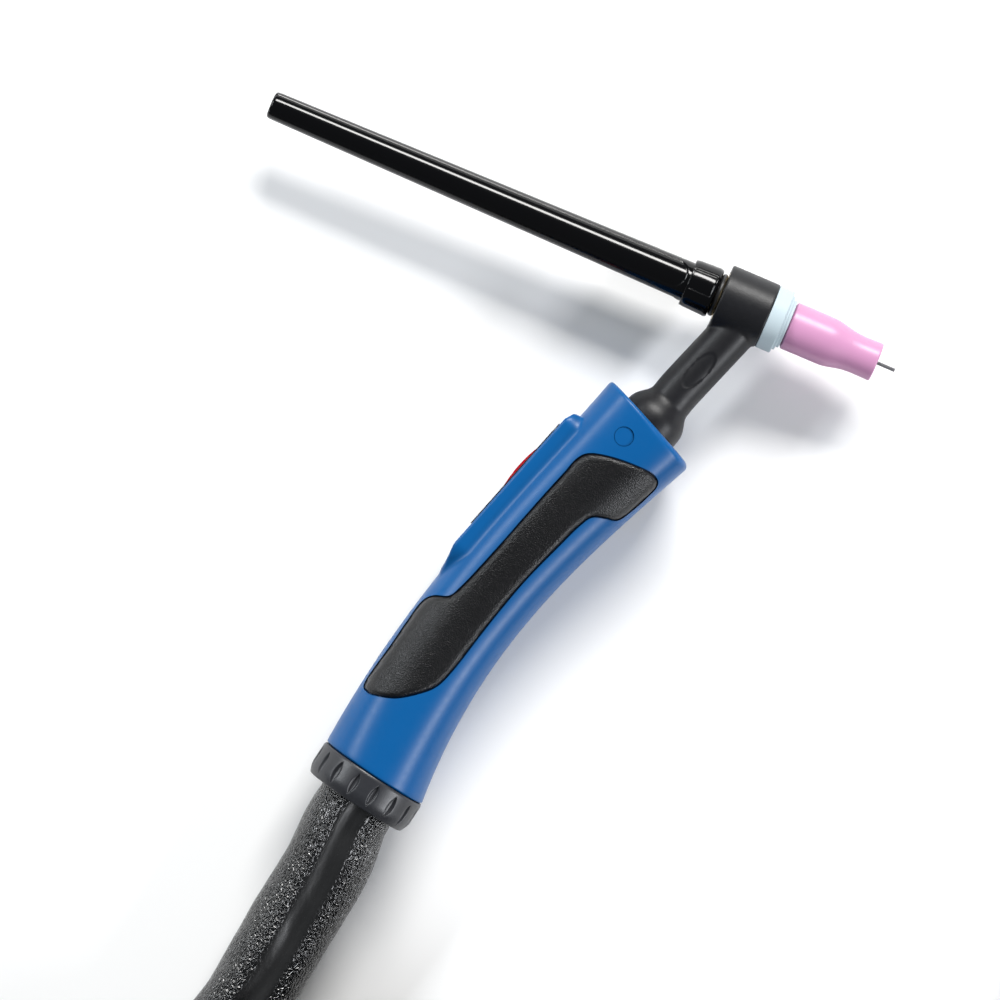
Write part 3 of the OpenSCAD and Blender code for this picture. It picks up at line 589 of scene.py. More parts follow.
class Graph:
    """The nodes of one material."""

    def __init__(self, name: str) -> None:
        """Starts a material with its main shader.

        Args:
            name: The material's name.
        """
        self.material = bpy.data.materials.new(name)
        self.material.use_nodes = True
        self.nodes = self.material.node_tree.nodes
        self.links = self.material.node_tree.links
        self.shader = self.nodes["Principled BSDF"]

    def add(
        self,
        kind: str,
        settings: dict[str, object] | None = None,
        sockets: dict[int | str, object] | None = None,
        out: int | str = 0,
    ) -> Value:
        """Adds a node.

        Args:
            kind: The node's type.
            settings: Its settings, set first. "stops" holds a ramp's places and colours.
            sockets: Values or links of its input sockets, by number or name.
            out: The output socket that is wanted.

        Returns:
            The output.
        """
        node = self.nodes.new(kind)
        for key, value in (settings or {}).items():
            if key == "stops":
                for stop, (place, colour) in zip(node.color_ramp.elements, value):
                    stop.position = place
                    stop.color = (*colour, 1.0)
            else:
                setattr(node, key, value)
        for key, value in (sockets or {}).items():
            self.plug(node.inputs[key], value)
        return Value(self, node.outputs[out])

    def plug(self, socket: bpy.types.NodeSocket, value: object) -> None:
        """Gives an input socket its link or its number.

        Args:
            socket: The input socket.
            value: What goes into it.
        """
        if isinstance(value, Value):
            self.links.new(value.socket, socket)
        elif socket.type == "RGBA" and len(value) == 3:
            socket.default_value = (*value, 1.0)
        else:
            socket.default_value = value

    def set(self, **sockets: object) -> None:
        """Sets the main shader's sockets, named with underscores for spaces.

        Args:
            sockets: Values or links.
        """
        for key, value in sockets.items():
            self.plug(self.shader.inputs[key.replace("_", " ")], value)

    def place(self, stretch: Triple = (1.0, 1.0, 1.0), attribute: str = "") -> Value:
        """Coordinates of the surface.

        Args:
            stretch: How much each coordinate is multiplied by.
            attribute: Name of a mesh attribute to take in place of the object's own coordinates.

        Returns:
            The coordinates.
        """
        if attribute:
            start = self.add("ShaderNodeAttribute", {"attribute_name": attribute}, out="Vector")
        else:
            start = self.add("ShaderNodeTexCoord", out="Object")
        if stretch == (1.0, 1.0, 1.0):
            return start
        return self.add("ShaderNodeVectorMath", {"operation": "MULTIPLY"}, {0: start, 1: stretch})

    def noise(self, place: Value, scale: float, detail: float = 2.0, warp: float = 0.0) -> Value:
        """Cloudy noise around a half.

        Args:
            place: Coordinates.
            scale: Clouds to a metre.
            detail: Octaves.
            warp: Distortion.

        Returns:
            The noise.
        """
        sockets = {"Vector": place, "Scale": scale, "Detail": detail, "Distortion": warp}
        return self.add("ShaderNodeTexNoise", {"noise_dimensions": "3D"}, sockets)

    def cells(self, place: Value, scale: float, feature: str = "F1") -> Value:
        """Distance to the nearest of scattered points, or to the edge between their cells.

        Args:
            place: Coordinates.
            scale: Points to a metre.
            feature: The texture's feature.

        Returns:
            The distance.
        """
        return self.add("ShaderNodeTexVoronoi", {"feature": feature}, {"Vector": place, "Scale": scale})

    def tint(self, share: Value, first: Colour, second: Colour) -> Value:
        """Colour between two colours.

        Args:
            share: How much of the second colour.
            first: Colour where the share is 0.
            second: Colour where it is 1.

        Returns:
            The colour.
        """
        return self.add("ShaderNodeMix", {"data_type": "RGBA"}, {0: share, 6: first, 7: second}, out=2)

    def relief(self, height: Value, depth: float) -> Value:
        """Bump from a height.

        Args:
            height: The height, from 0 to 1.
            depth: Metres between heights 0 and 1.

        Returns:
            The normal.
        """
        return self.add("ShaderNodeBump", None, {"Strength": 1.0, "Distance": depth, "Height": height})


@dataclass(frozen=True)
class Finish:
    """Moulded or cast surface with slightly uneven colour and gloss, and a fine texture.

    Attributes:
        colour: Base colour.
        roughness: Mean roughness.
        mottle: How far the colour varies, as a share.
        grain: Grains to a metre of the texture.
        depth: Depth of the texture in metres.
        metal: How metallic it is.
        specular: Strength of the plain reflection.
    """

    colour: Colour
    roughness: float
    mottle: float = 0.06
    grain: float = 2500.0
    depth: float = 0.00001
    metal: float = 0.0
    specular: float = 0.5

    def material(self, name: str) -> bpy.types.Material:
        """Makes the finish's material.

        Args:
            name: The material's name.

        Returns:
            The material.
        """
        graph = Graph(name)
        graph.set(Metallic=self.metal, Specular_IOR_Level=self.specular)
        self.paint(graph)
        return graph.material

    def tones(self, graph: Graph, share: Value, low: float, high: float) -> Value:
        """The colour, darker or lighter from place to place.

        Args:
            graph: The material's graph.
            share: Number from 0 to 1 that varies over the surface.
            low: What the colour is multiplied by where the number is 0.
            high: The same where it is 1.

        Returns:
            The varied colour.
        """
        dark, light = (tuple(min(1.0, c * factor) for c in self.colour) for factor in (low, high))
        return graph.tint(share, dark, light)

    def paint(self, graph: Graph) -> None:
        """Adds the nodes that vary over the surface.

        Args:
            graph: The material's graph.
        """
        place = graph.place()
        cloud = graph.noise(place, 120.0, 3.0)
        graph.set(Base_Color=self.tones(graph, cloud, 1 - self.mottle, 1 + self.mottle))
        graph.set(Roughness=self.roughness * (0.85 + 0.3 * graph.noise(place, 600.0, 4.0)))
        graph.set(Normal=graph.relief(graph.noise(place, self.grain, 2.0), self.depth))


@dataclass(frozen=True)
class Turned(Finish):
    """Metal with fine turning marks across an axis.

    Attributes:
        across: How much the marks are drawn out along each axis.
    """

    across: Triple = (60.0, 1.0, 1.0)

    def paint(self, graph: Graph) -> None:
        """Adds the turning marks.

        Args:
            graph: The material's graph.
        """
        marks = graph.noise(graph.place(self.across), 220.0, 3.0)
        cloud = graph.noise(graph.place(), 300.0, 3.0)
        graph.set(Base_Color=self.tones(graph, cloud, 0.8, 1.1))
        graph.set(Roughness=self.roughness * (0.7 + 0.6 * marks))
        graph.set(Normal=graph.relief(marks, self.depth))


@dataclass(frozen=True)
class Grained(Finish):
    """Soft rubber with a pebbled grain.

    Attributes:
        pebbles: Pebbles to a metre.
        pebble_depth: Depth between the pebbles in metres.
    """

    pebbles: float = 2600.0
    pebble_depth: float = 0.00012

    def paint(self, graph: Graph) -> None:
        """Adds the pebbles.

        Args:
            graph: The material's graph.
        """
        place = graph.place()
        pebble = graph.cells(place, self.pebbles)
        fine = graph.noise(place, self.pebbles * 1.7, 2.0)
        height = 0.7 * pebble + 0.5 * fine
        graph.set(Base_Color=self.tones(graph, fine, 0.75, 1.35))
        graph.set(Roughness=self.roughness * (0.75 + 0.5 * fine))
        graph.set(Normal=graph.relief(height, self.pebble_depth))


@dataclass(frozen=True)
class Leather(Finish):
    """Glossy crinkled leather on a hose, with its creases running along the hose.

    Attributes:
        creases: Creases to a metre round the hose.
        crease_depth: Depth of the creases in metres.
    """

    creases: float = 1150.0
    crease_depth: float = 0.00042

    def paint(self, graph: Graph) -> None:
        """Adds the creases, with painted shade in them, which are shallow where the sleeve is pulled
        tight.

        Args:
            graph: The material's graph.
        """
        along = graph.place((0.55, 1.0, 1.0), "straight")
        slack = graph.add("ShaderNodeAttribute", {"attribute_name": "slack"}, out="Fac")
        wander = graph.add("ShaderNodeTexNoise", None, {"Vector": along, "Scale": 500.0}, out="Color")
        shift = graph.add("ShaderNodeVectorMath", {"operation": "SCALE"}, {0: wander, "Scale": 0.0008})
        shifted = graph.add("ShaderNodeVectorMath", {"operation": "ADD"}, {0: along, 1: shift})
        ridge = graph.cells(shifted, self.creases, "DISTANCE_TO_EDGE").rise(0.0, 0.35)
        fine = graph.noise(along, self.creases * 1.7, 3.0, 0.6)
        broad = graph.noise(along, 260.0, 2.0)
        height = (0.75 * ridge + 0.7 * fine) * slack + 0.4 * broad
        # Painted shade: the colour is darker in the creases and lighter on the ridge tops between them.
        graph.set(Base_Color=self.tones(graph, ridge, 0.5, 1.4))
        graph.set(Roughness=self.roughness * (0.8 + 0.5 * fine) + 0.25 * (1 - slack))
        graph.set(Normal=graph.relief(height, self.crease_depth))


@dataclass(frozen=True)
class Woven(Finish):
    """Woven strap."""

    def paint(self, graph: Graph) -> None:
        """Adds warp and weft.

        Args:
            graph: The material's graph.
        """
        along = graph.place(attribute="straight")
        warp, weft = (
            graph.add(
                "ShaderNodeTexWave", {"wave_type": "BANDS", "bands_direction": direction},
                {"Vector": along, "Scale": scale}, out="Fac",
            )
            for direction, scale in (("X", 260.0), ("Y", 320.0))
        )
        fuzz = graph.noise(graph.place(), 3000.0, 2.0)
        height = warp * weft + 0.4 * fuzz
        graph.set(Base_Color=self.tones(graph, height, 0.6, 1.7))
        graph.set(Roughness=self.roughness * (0.85 + 0.3 * fuzz))
        graph.set(Normal=graph.relief(height, self.depth))


FINISHES: dict[str, Finish] = {
    "tungsten": Turned((0.20, 0.20, 0.21), 0.42, metal=1.0, depth=0.000006),
    "copper": Turned((0.75, 0.40, 0.27), 0.28, metal=1.0, depth=0.000006),
    "brass": Turned((0.80, 0.60, 0.28), 0.25, metal=1.0, depth=0.000006),
    "pink_ceramic": Finish((0.50, 0.235, 0.40), 0.36, 0.03, 1800.0, 0.000012),
    "white_ptfe": Finish((0.43, 0.51, 0.55), 0.5, 0.02, 900.0, 0.00001, specular=0.2),
    "head_rubber": Finish((0.0056, 0.0058, 0.0074), 0.44, 0.25, 2200.0, 0.00003, specular=0.36),
    "seal_rubber": Finish((0.015, 0.015, 0.016), 0.4),
    "cap_plastic": Finish((0.0010, 0.0010, 0.0014), 0.13, 0.1, 500.0, 0.000002, specular=0.32),
    "cable_rubber": Finish((0.020, 0.020, 0.022), 0.5, 0.15, 1800.0, 0.00003),
    "blue_plastic": Finish((0.0002, 0.080, 0.255), 0.36, 0.03, 3000.0, 0.000006, specular=0.3),
    "grip_rubber": Grained((0.0024, 0.0024, 0.0030), 0.33, specular=0.42, pebble_depth=0.00013),
    "steel": Turned((0.62, 0.62, 0.64), 0.3, metal=1.0, depth=0.000005),
    "black_plastic": Finish((0.014, 0.014, 0.016), 0.42, 0.1, 2600.0, 0.00001),
    "red_plastic": Finish((0.42, 0.006, 0.014), 0.3, 0.04, 2600.0, 0.000006),
    "ivory_plastic": Finish((0.75, 0.70, 0.55), 0.35),
    "wire_red": Finish((0.45, 0.02, 0.02), 0.4),
    "nut_plastic": Finish((0.018, 0.019, 0.023), 0.40, 0.08, 2200.0, 0.00002, specular=0.6),
    "leather_black": Leather((0.0010, 0.0010, 0.0015), 0.15, specular=1.0),
    "strap_black": Woven((0.018, 0.018, 0.020), 0.8, depth=0.0002),
    "nickel": Turned((0.66, 0.66, 0.64), 0.24, metal=1.0, depth=0.000005, across=(1.0, 60.0, 1.0)),
}


# ------------------------------------------------------------------------------------------ workshop


class Workshop:
    """Makes materials once each, and puts pieces on their bodies."""

    def __init__(self) -> None:
        """Starts with no material made."""
        self.materials: dict[str, bpy.types.Material] = {}

    def material(self, slot: str) -> bpy.types.Material:
        """The material of a slot.

        Args:
            slot: The material slot, a key of FINISHES.

        Returns:
            The material, made the first time that it is asked for.
        """
        if slot not in self.materials:
            self.materials[slot] = FINISHES[slot].material(slot)
        return self.materials[slot]

    def piece(
        self,
        name: str,
        mesh: bpy.types.Mesh,
        slot: str,
        body: str,
        stands_for: Sequence[str] = (),
    ) -> bpy.types.Object:
        """Makes a piece of a mesh that is in place in the row frame.

        Args:
            name: The piece's name.
            mesh: Its mesh, in metres.
            slot: The material slot that its finish comes from.
            body: The body that it rides on.
            stands_for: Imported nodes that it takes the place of.

        Returns:
            The piece.
        """
        mesh.name = name
        obj = bpy.data.objects.new(name, mesh)
        bpy.context.scene.collection.objects.link(obj)
        mesh.materials.append(self.material(slot))
        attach(obj, body)
        if stands_for:
            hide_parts(*stands_for)
        LOG.info("%s: %d faces, on %s", name, len(mesh.polygons), body)
        return obj

    def carried_over(self, node: str, slot: str, softening: float) -> bpy.types.Object:
        """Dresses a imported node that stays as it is.

        Args:
            node: The node's name.
            slot: Its material slot.
            softening: Width of the softened edges in millimetres, or 0.

        Returns:
            The node's object.
        """
        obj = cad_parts[node]
        obj.data.materials.clear()
        obj.data.materials.append(self.material(slot))
        if softening:
            weld = obj.modifiers.new("weld", "WELD")
            weld.merge_threshold = 0.002 * MM
            edge = obj.modifiers.new("edge", "BEVEL")
            edge.width = softening * MM
            edge.segments = 2
            edge.limit_method = "ANGLE"
            edge.angle_limit = math.radians(40)
            edge.harden_normals = True
        LOG.info("%s carried over", node)
        return obj

    def carry(self, *nodes: Carried) -> None:
        """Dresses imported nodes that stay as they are.

        Args:
            nodes: Name, material slot and softening of each.
        """
        for node in nodes:
            self.carried_over(*node)


WORKSHOP = Workshop()


# ------------------------------------------------------------------------------------------ hose package


@dataclass
class Coil:
    """Turns of the hose: two beside each other, two on them, and a last half turn on top.

    The radius and the height change along cosine slopes, and the straps sit where they don't.
    """

    centre: Pair = (97.0, -271.0)
    inner: float = 111.0
    hose: float = 24.0
    start: float = 171.6
    turns: float = 4.0
    last: float = 188.4
    slope: float = 68.0
    top_rise: float = 20.78
    hump: float = 3.2
    points_a_turn: int = 72

    def ease(self, turn: float, start: float, end: float) -> float:
        """Cosine slope from 0 to 1 between two turn angles."""
        share = min(max((turn - start) / (end - start), 0.0), 1.0)
        return 0.5 - 0.5 * math.cos(math.pi * share)

    def point(self, turn: float) -> Triple:
        """Centre of the hose at a turn angle.

        Each change of radius or height starts and ends some slopes before a turn is whole.

        Args:
            turn: Degrees from the coil's start.

        Returns:
            The point in the row frame, in millimetres.
        """
        slope, outer = self.slope, self.inner + self.hose
        out_first = self.ease(turn, 360 - 1.1 * slope, 360)
        lift = self.ease(turn, 720 - 1.5 * slope, 720 - 0.5 * slope)
        out_again = self.ease(turn, 1080 - 2 * slope, 1080 - slope)
        onto = self.ease(turn, 1440 - 2.5 * slope, 1440 - 1.5 * slope)
        radius = outer - self.hose * out_first + self.hose * out_again - self.hose / 2 * onto
        clear = (turn - (1440 - 1.5 * slope + 8)) / (0.35 * slope)
        height = self.hose / 2 + self.hose * lift + self.top_rise * onto
        height += self.hump * math.exp(-clear * clear)
        angle = math.radians(self.start + turn)
        return (
            self.centre[0] + radius * math.cos(angle),
            self.centre[1] + radius * math.sin(angle),
            height,
        )

    def line(self) -> list[Triple]:
        """Centres of the hose round the whole coil.

        Returns:
            The points in the row frame, in millimetres.
        """
        whole = self.turns * 360 + self.last
        count = round(whole / 360 * self.points_a_turn)
        return [self.point(whole * k / count) for k in range(count + 1)]


@dataclass
class Tube:
    """A round or shaped tube swept along a line.

    Attributes:
        line: Centres in the row frame, in millimetres.
        sides: Points round each ring.
        radius: Function of distance along and angle that gives the radius. Angle 0 is level and to the
            right of the way, and a quarter turn is up.
    """

    line: np.ndarray
    sides: int
    radius: Callable[[np.ndarray, np.ndarray], np.ndarray]

    def places(self) -> Sequence[np.ndarray]:
        """Distance along and angle of each point, in two arrays with a row for each ring."""
        turns = np.linspace(0, 2 * math.pi, self.sides, endpoint=False)
        return np.meshgrid(lengths(self.line), turns, indexing="ij")

    def shape(self) -> Shape:
        """The tube's surface, closed at both ends.

        Returns:
            The surface in the row frame.
        """
        way = np.gradient(self.line, axis=0)
        way /= np.linalg.norm(way, axis=1, keepdims=True)
        level = np.cross(way, (0.0, 0.0, 1.0))
        level /= np.linalg.norm(level, axis=1, keepdims=True)
        up = np.cross(level, way)
        along, turn = self.places()
        radius = self.radius(along, turn)[..., None]
        rings = (
            self.line[:, None, :]
            + radius * np.cos(turn)[..., None] * level[:, None, :]
            + radius * np.sin(turn)[..., None] * up[:, None, :]
        )
        faces = grid(rings, True, False)
        last = (len(self.line) - 1) * self.sides
        faces.append(tuple(range(self.sides))[::-1])
        faces.append(tuple(range(last, last + self.sides)))
        return Shape(rings.reshape(-1, 3), faces)

    def straight(self) -> np.ndarray:
        """Distance along, distance round and zero for each point, in metres.

        Returns:
            A row for each point of the surface.
        """
        along, turn = self.places()
        nothing = np.zeros_like(along)
        round_it = turn * self.radius(nothing, nothing).mean()
        return np.stack([along, round_it, nothing], axis=2).reshape(-1, 3) * MM


def write_attribute(mesh: bpy.types.Mesh, name: str, values: np.ndarray) -> None:
    """Stores a number or a vector for each point of a mesh.

    Args:
        mesh: The mesh.
        name: The attribute's name.
        values: One number or vector for each point.
    """
    kind, key = ("FLOAT", "value") if values.ndim == 1 else ("FLOAT_VECTOR", "vector")
    attribute = mesh.attributes.new(name, kind, "POINT")
    attribute.data.foreach_set(key, values.astype(np.float32).ravel())


def spread(line: np.ndarray, steps: Callable[[float], float]) -> np.ndarray:
    """Puts points along a line at chosen distances from each other.

    Args:
        line: The line's points, close together.
        steps: Function of distance along that gives the next step.

    Returns:
        The new points.
    """
    along = lengths(line)
    marks = [0.0]
    while marks[-1] < along[-1]:
        marks.append(marks[-1] + steps(marks[-1]))
    marks = np.array(marks) * along[-1] / marks[-1]
    return np.column_stack([np.interp(marks, along, line[:, k]) for k in range(3)])


@dataclass
class HosePackage:
    """Leather sleeve over cable and gas hose, coiled on the floor, with end boot, leads and straps."""

    diameter: float = 24.0
    skin: float = 11.85
    neck_skin: float = 11.0
    valley: float = 2.9
    valley_at: float = 1.66
    valley_width: float = 0.44
    sides: int = 80
    finely_drawn: float = 135.0
    power_lead: float = 13.0
    control_lead: float = 5.0
    strap_angles: tuple[float, ...] = (75.0, 285.0)
    strap_turn: float = 10.0
    strap_thick: float = 1.4
    strap_gap: float = 0.1
    lap: Pair = (0.52, 0.80)
    lap_thick: float = 0.75
    coil: Coil = field(default_factory=Coil)
    run: tuple[Triple, ...] = (
        (5.4, -74.3, 15.8), (3.2, -86.6, 15.8), (2.2, -92, 15.8), (1.9, -99, 15), (1.5, -109, 13.6),
        (0.4, -122, 12.3), (-1.4, -136, 12), (-4.2, -149.5, 12), (-9.6, -164, 12), (-17, -180, 12),
        (-25.2, -200, 12), (-32, -224, 12), (-36.6, -251.3, 12),
    )
    tail: tuple[Triple, ...] = (
        (220, -271, 56.8), (220.2, -259, 57.6), (221.6, -247, 59.8), (224, -235, 62.5), (226.3, -223, 64),
        (227.9, -211, 62.9), (228.7, -199, 59.4), (229, -187, 53.8), (229, -175, 46), (229, -163, 36.3),
        (229, -151, 27.4), (229, -139, 21), (229, -127, 16.7), (229, -115, 14.7), (229, -103, 14.5),
        (229, -84, 14.5),
    )
    power: tuple[Triple, ...] = (
        (232.5, -54, 14.5), (232.5, -45.5, 14.5), (232.4, -37, 13.5), (232.1, -28.5, 10.6),
        (231.4, -20, 7.7), (230.4, -11.5, 6.7), (229.4, -3, 7.7), (228.6, 5.5, 10.8), (228.1, 14.5, 14),
        (228, 23, 15), (228, 33, 15),
    )
    control: tuple[Triple, ...] = (
        (222, -54, 14.5), (222, -45.3, 14.5), (220.8, -36.5, 13.2), (217.4, -27.8, 9.2), (212.5, -20, 5),
        (206.8, -11.3, 2.7), (202.2, -2.5, 2.6), (199.4, 6.2, 3.9), (198.4, 14, 7), (198, 21, 9.1),
        (198, 28, 9.4), (198, 35, 9.4),
    )
    side_slip: tuple[Pair, ...] = (
        (0, 0), (14, 0.8), (26, 1.2), (38, 0.9), (50, 0.1), (62, 0.1), (75, 0.9), (88, 2.3), (100, 2.1),
        (125, 0),
    )

    def slack(self, along: np.ndarray, turn: np.ndarray) -> np.ndarray:
        """How loose the sleeve is: 1 over cable and hose, 0 where it spans the valleys between them.

        Args:
            along: Distance along the hose.
            turn: Angle round it.

        Returns:
            The looseness at each point.
        """
        drift = 0.10 * np.sin(along / 31.0) + 0.05 * np.sin(along / 13.0 + 1.0)
        above = np.angle(np.exp(1j * (turn - self.valley_at - drift)))
        below = np.angle(np.exp(1j * (turn + self.valley_at - drift)))
        width = self.valley_width
        return 1 - np.exp(-((above / width) ** 2)) - np.exp(-((below / width) ** 2))

    def skin_radius(self, along: np.ndarray, turn: np.ndarray) -> np.ndarray:
        """Radius of the sleeve: two lobes with valleys between them, folded, and gathered at the nut.

        Args:
            along: Distance along the hose.
            turn: Angle round it.

        Returns:
            The radius at each point.
        """
        gather = smooth_step(1 - (along - 12.0) / 16.0)
        skin = self.skin + (self.neck_skin - self.skin) * gather
        deep = self.valley * (1 - 0.15 * np.sin(along / 23.0))
        folds = 0.112 * np.sin(along / 2.9 + 2.5 * np.sin(turn * 2)) * np.sin(turn * 3 + along / 17.0)
        waves = 0.154 * np.sin(along / 9.5 + 3 * np.sin(turn + along / 40.0))
        slip = np.interp(along, *np.array(self.side_slip).T) * np.cos(turn)
        return skin - slip - deep * (1 - self.slack(along, turn)) + (folds + waves) * (1 - gather)

    def route(self) -> np.ndarray:
        """The hose's whole centre line.

        Returns:
            Its points, from the nut over the coil to the end boot.
        """
        run = smooth_through(np.array(self.run), False, 12)
        tail = smooth_through(np.array(self.tail), False, 8)
        return np.concatenate([run[:-1], np.array(self.coil.line()), tail[1:]])

    def build_hose(self) -> None:
        """Makes the leather sleeve.
        """
        line = spread(self.route(), lambda s: 0.7 if s < self.finely_drawn else 4.0)
        tube = Tube(line, self.sides, self.skin_radius)
        mesh = tube.shape().moved(LAYOUT.matrix(Place.ROW)).mesh("hose_sleeve", 80.0)
        write_attribute(mesh, "straight", tube.straight())
        write_attribute(mesh, "slack", smooth_step((self.slack(*tube.places()) - 0.3) / 0.5).ravel())
        hose = WORKSHOP.piece(
            "hose_sleeve", mesh, "leather_black", "handle", ["hose_run", "lead_coil", "hose_tail"]
        )
        tuple(c * MM for c in self.run[1])
        round(lengths(line)[-1] * MM, 3)

    def build_lead(
        self,
        name: str,
        points: Sequence[Triple],
        diameter: float,
    ) -> None:
        """Makes a smooth lead between the end boot and a plug.

        Args:
            name: The lead's name, which is its node's name with "_sheath".
            points: Its route.
            diameter: Its diameter.
        """
        line = smooth_through(np.array(points), False, 6)
        tube = Tube(line, 32, lambda along, turn: np.full(along.shape, diameter / 2))
        mesh = tube.shape().moved(LAYOUT.matrix(Place.ROW)).mesh(name, 60.0)
        lead = WORKSHOP.piece(name, mesh, "cable_rubber", "handle", [name.removesuffix("_sheath")])
        tuple(c * MM for c in points[0])
        round(lengths(line)[-1] * MM, 4)

    def strap_line(self, out: float, angle: float) -> np.ndarray:
        """Taut outline round the turns at an angle, as distance from the coil's middle and height.

        Args:
            out: Distance from the turns.
            angle: Degrees round the coil.

        Returns:
            The outline's points, from the inner side over the top to the outer side.
        """
        coil = self.coil
        passes = np.arange((angle - coil.start) % 360, coil.turns * 360 + coil.last, 360)
        spots = np.array([coil.point(turn) for turn in passes]) - np.array([*coil.centre, 0.0])
        middles = np.column_stack([np.hypot(spots[:, 0], spots[:, 1]), spots[:, 2]])
        ways = np.radians(np.linspace(232, -52, 72))
        ways = np.column_stack([np.cos(ways), np.sin(ways)])
        return middles[np.argmax(ways @ middles.T, axis=1)] + (self.diameter / 2 + out) * ways

    def build_strap(self, number: int, angle: float) -> bpy.types.Object:
        """Makes one woven strap round the coil's turns.

        Args:
            number: The strap's number.
            angle: Degrees round the coil at which it starts.

        Returns:
            The strap.
        """
        run = lengths(self.strap_line(self.strap_thick, angle))
        share = run / run[-1]
        lap = smooth_step((share - self.lap[0]) / 0.03) * smooth_step((self.lap[1] - share) / 0.012)
        places = np.array([0, 0.015, 0.05, 0.3, 0.5, 0.7, 0.95, 0.985, 1])
        across = np.radians(angle + self.strap_turn * places)
        edge = np.array([0.55, 0.15, 0, 0, 0, 0, 0, 0.15, 0.55])
        rings = []
        for turn, drop in zip(across, edge):
            inside = self.strap_line(self.strap_gap, math.degrees(turn))
            normal = self.strap_line(self.strap_gap + 1, math.degrees(turn)) - inside
            top = inside + normal * (self.strap_thick + self.lap_thick * lap - drop)[:, None]
            section = np.concatenate([inside + normal * drop * 0.5, top[::-1]])
            flat = self.coil.centre + section[:, :1] * np.array([[math.cos(turn), math.sin(turn)]])
            rings.append(np.column_stack([flat, section[:, 1]]))
        rings = np.array(rings)
        count = rings.shape[1]
        faces = grid(rings, True, False)
        half = count // 2
        for start in (0, (len(rings) - 1) * count):
            for j in range(half - 1):
                quad = (start + j, start + j + 1, start + count - 2 - j, start + count - 1 - j)
                faces.append(quad if start else quad[::-1])
        shape = Shape(rings.reshape(-1, 3), [f[::-1] for f in faces])
        mesh = shape.moved(LAYOUT.matrix(Place.ROW)).mesh(f"coil_strap_{number}", 50.0)
        along = np.concatenate([run, run[::-1]])
        width = self.coil.inner * (across - across[0])
        spots = [np.column_stack([along, np.full(count, w), np.zeros(count)]) for w in width]
        write_attribute(mesh, "straight", np.concatenate(spots) * MM)
        return WORKSHOP.piece(f"coil_strap_{number}", mesh, "strap_black", "handle", ["coil_ties"])

    def build(self) -> None:
        """Makes the hose, its straps and its leads, and dresses the boot and the plugs."""
        straps = [self.build_strap(k + 1, angle) for k, angle in enumerate(self.strap_angles)]
        boot = WORKSHOP.carried_over("end_boot", "cable_rubber", 0.3)
        WORKSHOP.carry(
            ("power_plug_boot", "cable_rubber", 0.3), ("power_plug_pin", "brass", 0.15),
            ("control_plug_body", "black_plastic", 0.2), ("control_plug_ring", "nickel", 0.12),
            ("control_plug_pins", "brass", 0.0),
        )
        self.build_lead(
            "power_lead_sheath", self.power, self.power_lead
        )
        self.build_lead(
            "control_lead_sheath", self.control, self.control_lead,
        )
        self.build_hose()


# ------------------------------------------------------------------------------------------ head


